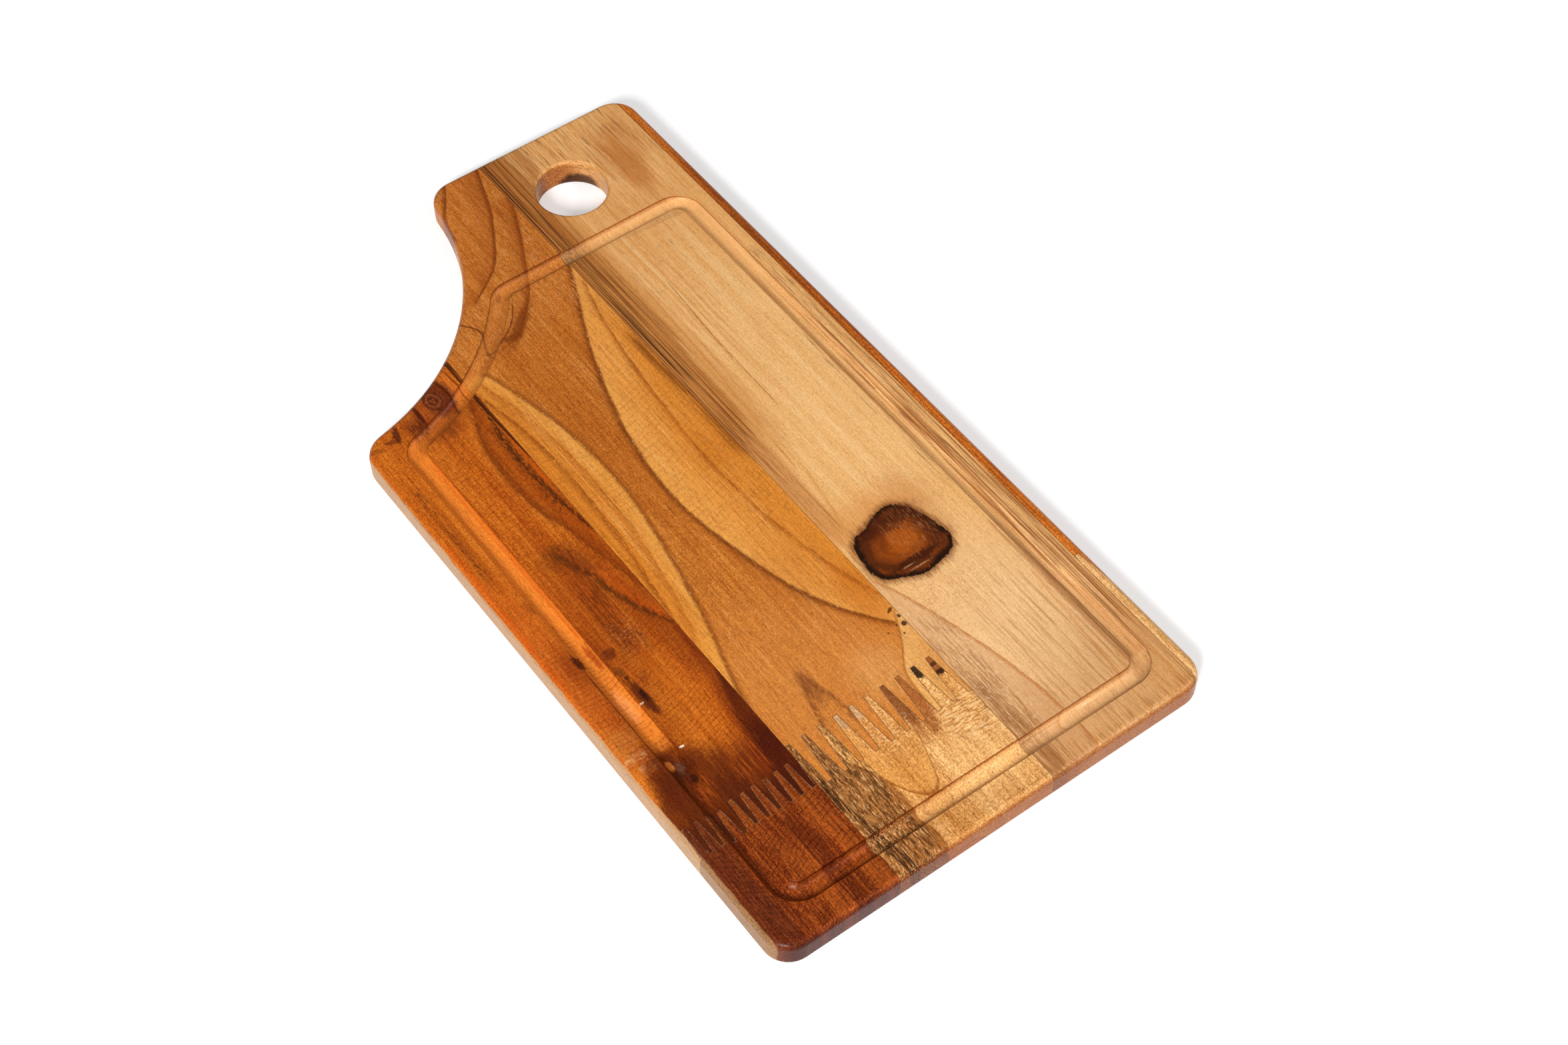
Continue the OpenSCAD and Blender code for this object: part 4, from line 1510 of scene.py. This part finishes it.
YELLOW_SAPWOOD = Wood(
    slot=Slot.YELLOW, dark=tone(198, 126, 58), mean=tone(222, 158, 88), light=tone(240, 186, 120),
    pore=tone(160, 100, 50), pores=0.45, grit=0.6,
    # Planer ridges in the relief, with painted shade at their feet and a painted highlight on their
    # crests
    ripples=(
        Ripple(tone(170, 100, 38), 0.55, at=(15.0, -155.0), size=(9.5, 12.0), rough=0.5, soft=1.0,
               crest_highlight=tone(252, 210, 152), ridge=(3.6, 0.9)),
        Ripple(tone(190, 120, 56), 0.4, at=(-12.5, -142.0), size=(10.0, 12.0), rough=0.6, soft=0.9,
               crest_highlight=tone(250, 206, 150), ridge=(1.8, 0.9), lift=5.0)),
    marks=(
        Streaks(tone(184, 112, 46), 0.4, wide=(-28.0, 23.0), long=(-178.0, -140.0),
                grain=(0.7, 1.6), share=0.36, soft=1.5),
        Ring(tone(216, 146, 68), 0.65, crisp=0.4, fading=60.0, run=Run.ACROSS, dip=-3.3, waver=0.5,
             points=TONGUE),
        Ring(tone(158, 88, 28), 0.9, crisp=1.0, fading=2.6, run=Run.ACROSS, dip=-3.3, waver=0.5,
             points=TONGUE),
        Ring(tone(172, 100, 36), 0.85, crisp=0.9, fading=2.2, run=Run.ACROSS, waver=0.7,
             points=((4.0, -150.0), (9.0, -160.0), (13.0, -163.5), (18.0, -163.5), (24.0, -157.0))),
        Patch(tone(244, 190, 124), 0.5, at=(12.0, -172.0), size=(18.0, 20.0), rough=0.5, soft=1.2),
        Groove(tone(244, 194, 126), 0.35),
        Ring(tone(150, 92, 42), 0.3, crisp=16.0, fading=900.0, side=Side.LOW, run=Run.ACROSS,
             waver=3.0, points=((-60.0, -184.0), (-10.0, -186.0), (10.0, -196.0), (40.0, -198.0))),
        Ring(tone(160, 96, 42), 0.88, crisp=0.8, fading=60.0, side=Side.LOW, points=GREY_EDGE,
             waver=1.4),
        Ring(tone(112, 66, 30), 0.6, crisp=0.8, fading=2.0, side=Side.LOW, points=GREY_EDGE,
             waver=1.4, broken=0.08),
        Streaks(tone(80, 42, 15), 0.8, wide=(-48.0, -27.0), long=(-202.0, -126.0), grain=(0.7, 4.0),
                share=0.46, soft=1.0),
        # Painted highlights: pale glints among the dark fibres of the grey end
        Streaks(tone(232, 180, 118), 0.65, wide=(-48.0, -27.0), long=(-202.0, -126.0),
                grain=(0.6, 2.6), share=0.26, soft=1.0),
        Streaks(tone(52, 28, 12), 0.9, wide=(-42.4, -37.6), long=(-200.0, -144.0),
                grain=(0.7, 20.0), share=0.5, soft=0.6, lean=-0.13),
        Streaks(tone(62, 34, 15), 0.8, wide=(-29.4, -25.4), long=(-190.0, -148.0),
                grain=(0.7, 16.0), share=0.42, soft=0.6, lean=-0.12),
        Streaks(tone(84, 48, 22), 0.6, wide=(-37.0, -31.0), long=(-200.0, -130.0),
                grain=(0.9, 10.0), share=0.35, soft=1.0, lean=-0.1),
        Patch(tone(200, 158, 118), 0.7, at=(-24.3, -129.0), size=(2.2, 5.0), rough=0.3, soft=0.3,
              grain=(0.8, 1.2)),
        Patch(tone(200, 158, 118), 0.7, at=(-17.0, -129.0), size=(2.2, 5.4), rough=0.3, soft=0.3,
              grain=(0.8, 1.2)),
        Patch(tone(122, 58, 20), 0.9, at=(-2.2, -135.0), size=(2.6, 15.0), rough=0.3, soft=0.6),
        Patch(tone(156, 82, 32), 0.85, at=(5.2, -136.0), size=(2.6, 14.0), rough=0.5, soft=0.6,
              grain=(1.0, 4.0)),
        Patch(tone(150, 80, 30), 0.75, at=(2.4, -149.5), size=(2.6, 6.0), rough=0.9, soft=0.9,
              grain=(1.2, 2.6)),
        Patch(tone(172, 100, 44), 0.6, at=(-3.0, -152.0), size=(2.0, 5.0), rough=0.9, soft=0.9,
              grain=(1.2, 2.6)),
        Patch(tone(38, 17, 7), 0.96, at=(12.4, -126.0), size=(3.4, 7.2), rough=0.15, soft=0.2,
              grain=(0.8, 0.8)),
        Patch(tone(146, 76, 32), 0.9, at=(19.6, -126.0), size=(4.4, 10.0), rough=0.15, soft=0.2,
              grain=(0.8, 0.8)),
        Patch(tone(36, 16, 8), 0.88, at=(19.6, -134.8), size=(3.0, 1.3), rough=0.3, soft=0.6,
              grain=(0.8, 0.8)),
        Patch(tone(64, 30, 12), 0.8, at=(19.6, -130.6), size=(3.0, 0.9), rough=0.3, soft=0.6,
              grain=(0.8, 0.8)),
        # Dark line along the groove's edges: partly router burn, partly painted shade
        Groove(tone(120, 70, 30), 0.65, depths=RIM_BURN_AND_SHADE_DEPTHS),
    ))

FOOT_RING = ((26.0, -88.0), (30.0, -98.0), (36.0, -118.0), (41.0, -138.0), (44.5, -158.0),
             (46.0, -176.0), (46.5, -200.0))

PALE_SAPWOOD = Wood(
    slot=Slot.PALE, dark=tone(224, 165, 98), mean=tone(233, 178, 112), light=tone(239, 188, 125),
    pore=tone(176, 122, 72), pores=0.24, grit=0.15,
    marks=(
        Ring(tone(224, 160, 92), 0.7, crisp=90.0, fading=900.0, run=Run.ACROSS, waver=6.0,
             points=((0.0, 128.0), (60.0, 134.0), (120.0, 128.0))),
        Patch(tone(240, 198, 150), 0.5, at=(58.0, -140.0), size=(30.0, 50.0), rough=0.4, soft=1.2),
        Streaks(tone(206, 138, 70), 0.45, wide=(36.0, 60.0), long=(20.0, 200.0), grain=(1.6, 90.0),
                share=0.45, soft=4.0),
        Streaks(tone(208, 140, 74), 0.3, wide=(60.0, 96.0), long=(60.0, 200.0), grain=(1.6, 70.0),
                share=0.4, soft=4.0),
        Streaks(tone(240, 196, 138), 0.4, wide=(40.0, 78.0), long=(-60.0, 120.0),
                grain=(2.4, 120.0), share=0.4, soft=4.0),
        Ring(tone(206, 128, 56), 0.7, crisp=0.5, fading=1.2, waver=0.5, uneven=0.5,
             points=((41.0, 90.0), (39.6, 60.0), (38.0, 30.0), (36.0, 0.0), (34.4, -22.0))),
        Ring(tone(212, 138, 66), 0.65, crisp=0.5, fading=1.4, waver=0.5, uneven=0.5,
             points=((44.6, 150.0), (44.4, 110.0), (43.6, 76.0), (42.0, 46.0), (40.6, 16.0))),
        Ring(tone(216, 146, 74), 0.6, crisp=0.8, fading=1.0, waver=0.5, uneven=0.4,
             points=((48.0, 120.0), (47.0, 90.0), (46.0, 60.0))),
        Ring(tone(132, 74, 28), 0.85, crisp=0.3, fading=0.4, waver=0.15, broken=0.25,
             points=((50.9, 88.0), (50.0, 72.0), (49.0, 58.0), (48.5, 45.0), (48.5, 28.0),
                     (48.3, 10.0))),
        Band(tone(196, 128, 62), 0.5, wide=(22.0, 42.0), long=(-10.0, 215.0), soft=2.4),
        Band(tone(198, 130, 68), 0.75, wide=(22.0, 32.0), long=(-66.0, 10.0), soft=1.8),
        Band(tone(176, 106, 46), 0.85, wide=(22.0, 34.4), long=(6.0, 215.0), soft=1.5),
        Band(tone(188, 122, 60), 0.75, wide=(33.0, 37.4), long=(60.0, 215.0), soft=0.8),
        Band(tone(168, 108, 56), 0.6, wide=(34.0, 44.0), long=(166.0, 215.0), soft=1.2),
        Band(tone(158, 90, 36), 0.6, wide=(22.0, 34.0), long=(122.0, 215.0), soft=1.0),
        Streaks(tone(208, 140, 70), 0.6, wide=(24.0, 38.3), long=(0.0, 215.0), grain=(0.8, 110.0),
                share=0.38, soft=0.8),
        Streaks(tone(92, 46, 15), 0.75, wide=(23.4, 33.8), long=(0.0, 215.0), grain=(0.8, 90.0),
                share=0.34, soft=0.9),
        Streaks(tone(68, 32, 10), 0.85, wide=(23.4, 31.2), long=(38.0, 215.0), grain=(0.7, 80.0),
                share=0.36, soft=1.2),
        Streaks(tone(104, 54, 19), 0.7, wide=(33.4, 37.0), long=(50.0, 215.0), grain=(0.5, 40.0),
                share=0.3, soft=0.5),
        Streaks(tone(140, 78, 32), 0.65, wide=(23.4, 31.0), long=(-58.0, 20.0), grain=(0.7, 40.0),
                share=0.4, soft=0.8),
        Streaks(tone(118, 68, 30), 0.75, wide=(36.0, 94.0), long=(158.0, 215.0), grain=(0.8, 18.0),
                share=0.28, soft=2.0),
        Streaks(tone(184, 116, 56), 0.36, wide=(36.0, 94.5), long=(128.0, 215.0), grain=(0.9, 44.0),
                share=0.36, soft=2.0),
        Streaks(tone(238, 190, 130), 0.5, wide=(36.0, 94.0), long=(130.0, 215.0), grain=(1.0, 34.0),
                share=0.36, soft=3.0),
        Streaks(tone(112, 64, 28), 0.7, wide=(36.0, 80.0), long=(60.0, 140.0), grain=(0.5, 7.0),
                share=0.07, soft=2.0),
        Patch(tone(188, 112, 48), 0.65, at=(76.0, 158.0), size=(6.0, 20.0), rough=0.7, soft=1.1,
              grain=(2.5, 14.0)),
        Patch(tone(192, 118, 54), 0.5, at=(83.0, 168.0), size=(7.0, 20.0), rough=0.7, soft=1.2,
              turn=-14.0, grain=(2.5, 14.0)),
        Streaks(tone(196, 126, 64), 0.55, wide=(80.6, 96.0), long=(-200.0, 70.0), grain=(0.9, 60.0),
                share=0.5, soft=1.2),
        Streaks(tone(136, 78, 34), 0.8, wide=(85.4, 94.6), long=(-178.0, 40.0), grain=(0.8, 44.0),
                share=0.38, soft=0.8),
        Streaks(tone(148, 88, 40), 0.62, wide=(92.2, 98.0), long=(-205.0, -56.0), grain=(0.8, 40.0),
                share=0.56, soft=0.8),
        Streaks(tone(126, 66, 26), 0.6, wide=(86.2, 90.2), long=(-124.0, -24.0), grain=(0.7, 50.0),
                share=0.5, soft=0.6),
        Streaks(tone(240, 190, 132), 0.5, wide=(81.0, 95.0), long=(-190.0, 80.0), grain=(0.7, 44.0),
                share=0.28, soft=1.2),
        Streaks(tone(118, 70, 34), 0.6, wide=(88.0, 94.0), long=(20.0, 84.0), grain=(0.5, 12.0),
                share=0.26, soft=0.8),
        Streaks(tone(160, 100, 52), 0.7, wide=(78.6, 84.0), long=(-180.0, -90.0), grain=(0.8, 40.0),
                share=0.6, soft=1.0),
        Streaks(tone(142, 104, 66), 0.6, wide=(76.6, 80.6), long=(-66.0, 34.0), grain=(0.6, 20.0),
                share=0.3, soft=0.8),
        Streaks(tone(178, 124, 74), 0.6, wide=(46.0, 80.0), long=(-200.0, -112.0),
                grain=(0.8, 30.0), share=0.34, soft=4.0),
        Ring(tone(206, 136, 70), 0.6, crisp=0.8, fading=1.6, waver=0.6, uneven=0.4,
             points=((77.0, -120.0), (75.0, -146.0), (72.4, -174.0), (71.0, -200.0))),
        Ring(tone(216, 164, 114), 0.68, crisp=0.6, fading=60.0, side=Side.LOW, dip=-1.7, waver=0.6,
             points=FOOT_RING),
        # Painted shade: the right stave darkens towards the foot
        Ring(tone(168, 108, 56), 0.42, crisp=60.0, fading=900.0, side=Side.LOW, run=Run.ACROSS,
             waver=4.0, points=((0.0, -184.0), (46.0, -192.0), (66.0, -182.0), (120.0, -178.0))),
        # Darker streaks along the foot strip and the front edge, partly wood streaks and partly
        # painted shade
        Streaks(tone(146, 88, 42), 0.45, wide=(22.0, 97.0), long=(-205.0, -190.0),
                grain=(0.8, 20.0), share=0.5, soft=0.6),
        Ring(tone(184, 110, 52), 0.75, crisp=0.6, fading=1.8, side=Side.LOW, dip=-1.7, waver=0.6,
             broken=0.25, points=FOOT_RING),
        Streaks(tone(150, 94, 48), 0.6, wide=(23.0, 36.0), long=(-200.0, -116.0), grain=(0.7, 12.0),
                share=0.46, soft=1.6),
        Streaks(tone(142, 86, 42), 0.65, wide=(22.0, 31.0), long=(-210.0, -144.0),
                grain=(0.8, 26.0), share=0.6, soft=1.4),
        Streaks(tone(240, 206, 168), 0.5, wide=(24.0, 40.0), long=(-176.0, -96.0), grain=(0.5, 2.4),
                share=0.25, soft=3.0),
        Streaks(tone(196, 130, 68), 0.45, wide=(32.0, 60.0), long=(-118.0, -96.0), grain=(0.8, 1.2),
                share=0.34, soft=2.0),
        Ring(tone(206, 138, 70), 0.6, crisp=0.5, fading=2.0, side=Side.LOW, waver=0.5,
             points=((37.0, -30.0), (34.0, -48.0), (31.0, -62.0), (27.0, -72.0))),
        Groove(tone(244, 194, 134), 0.3, window=Window((20.0, 93.5), (70.0, 133.5), (0.5, 30.0))),
        Groove(tone(246, 198, 138), 0.2, window=Window((20.0, 93.5), (-189.0, -172.0), (0.5, 0.5))),
        Patch(tone(200, 142, 86), 0.6, at=(60.0, -70.0), size=(9.0, 20.0), rough=0.5, soft=1.4),
        Patch(tone(212, 138, 70), 0.6, at=(45.0, -62.0), size=(19.0, 11.0), rough=0.5, soft=1.5),
        Knot(tone(24, 9, 4), 0.98, at=(45.5, -77.5), size=(10.5, 8.2), rough=0.34,
             heart=tone(162, 76, 13), wood=tone(116, 50, 10), scorch=tone(118, 56, 16), rim=2.2,
             spike=1.6,
             top=((24.0, -72.0), (28.0, -68.5), (31.0, -66.2), (38.0, -64.6), (42.0, -62.6),
                  (49.0, -60.4), (53.0, -60.8), (57.0, -63.6), (60.0, -68.0), (64.0, -76.0)),
             foot=((24.0, -84.0), (28.0, -88.4), (31.0, -90.4), (35.0, -92.0), (40.0, -94.4),
                   (44.5, -95.6), (52.0, -94.4), (58.0, -93.0), (62.0, -90.0), (66.0, -84.0)),
             left=((-98.0, 31.0), (-90.0, 28.0), (-86.0, 27.2), (-78.0, 27.0), (-72.0, 28.0),
                   (-66.0, 30.0), (-58.0, 36.0)),
             right=((-97.0, 59.0), (-91.0, 62.2), (-85.0, 63.2), (-79.0, 62.0), (-73.0, 60.6),
                    (-68.0, 59.4), (-64.0, 57.4), (-58.0, 53.0))),
        Patch(tone(74, 27, 6), 0.75, at=(47.0, -66.6), size=(12.0, 4.2), rough=0.7, soft=1.3,
              turn=6.0, grain=(2.4, 2.4)),
        Patch(tone(84, 34, 9), 0.75, at=(57.6, -77.0), size=(3.2, 11.0), rough=0.7, soft=1.1,
              grain=(1.2, 3.0)),
        Patch(tone(60, 21, 6), 0.85, at=(45.0, -87.6), size=(10.0, 1.9), rough=1.0, soft=0.9,
              grain=(2.4, 1.0)),
        Streaks(tone(226, 172, 112), 0.3, wide=(42.0, 61.0), long=(-84.0, -64.0), grain=(0.4, 3.4),
                share=0.24, soft=1.5),
        # Painted highlights: thin glints in the cracks below the knot
        Patch(tone(206, 150, 104), 0.45, at=(40.6, -88.9), size=(2.4, 0.4), rough=1.6, soft=0.9,
              grain=(0.6, 0.4)),
        Patch(tone(206, 150, 104), 0.45, at=(45.0, -91.3), size=(4.0, 0.4), rough=1.6, soft=0.9,
              grain=(0.6, 0.4)),
        Patch(tone(104, 44, 10), 0.6, at=(39.0, -75.0), size=(2.4, 4.5), rough=1.4, soft=1.0,
              turn=-18.0, grain=(0.8, 1.8)),
        Patch(tone(60, 28, 14), 0.9, at=(62.0, 172.0), size=(10.0, 10.0), rough=0.3, soft=0.5,
              height=(1.5, 5.0)),
        # Dark line along the groove's edges: partly router burn, partly painted shade
        Groove(tone(136, 82, 38), 0.7, depths=RIM_BURN_AND_SHADE_DEPTHS),
    ))

BROWN_HEARTWOOD = Wood(
    slot=Slot.BROWN, dark=tone(180, 88, 24), mean=tone(206, 112, 36), light=tone(220, 132, 54),
    pore=tone(110, 56, 24), grit=0.5,
    marks=(
        Streaks(tone(120, 52, 12), 0.6, wide=(90.0, 102.0), long=(-130.0, 200.0), grain=(0.8, 40.0),
                share=0.4),
        Patch(tone(128, 54, 13), 0.6, at=(98.0, 96.0), size=(6.0, 60.0), soft=1.2),
    ))

STRAW_SAPWOOD = Wood(
    slot=Slot.STRAW, dark=tone(204, 140, 75), mean=tone(226, 170, 103), light=tone(240, 190, 130),
    pore=tone(160, 104, 56),
    marks=(
        Streaks(tone(176, 116, 58), 0.5, wide=(90.0, 102.0), long=(-210.0, -120.0),
                grain=(0.8, 16.0), share=0.4),
    ))

DARK_GLUE = Glue(
    Slot.DARK_GLUE, film=tone(92, 52, 24), dirt=tone(58, 28, 12), speck=tone(150, 100, 56),
    specks=0.3)
CLEAR_GLUE = Glue(
    Slot.CLEAR_GLUE, film=tone(118, 76, 42), dirt=tone(66, 34, 15), speck=tone(200, 168, 132),
    specks=0.42)

STAVES = (
    Stave("left_stave", ORANGE_HEARTWOOD),
    Stave("left_stave_end", RED_HEARTWOOD),
    Stave("middle_stave", GOLDEN_HEARTWOOD),
    Stave("middle_stave_end", YELLOW_SAPWOOD),
    Stave("right_stave", PALE_SAPWOOD),
    Stave("edge_stave", BROWN_HEARTWOOD),
    Stave("edge_stave_end", STRAW_SAPWOOD),
)
FILMS = (
    GlueFilms(("left_glue_line", "middle_glue_line", "edge_glue_line"), DARK_GLUE),
    GlueFilms(("left_finger_glue", "middle_finger_glue", "edge_finger_glue"), CLEAR_GLUE),
)


def main() -> None:
    """Builds the staves, the glue and the studio in order and reports each piece."""
    logging.basicConfig(level=logging.INFO, format="%(name)s: %(message)s")
    for stave in STAVES:
        piece = stave.build()
        LOG.info("%s, %d faces, %s", piece.name, len(piece.data.polygons), stave.wood.slot.value)
    for films in FILMS:
        for film in films.build():
            LOG.info("%s, %s", film.name, films.glue.slot.value)
    Studio().build()


if __name__ == "__main__":
    main()
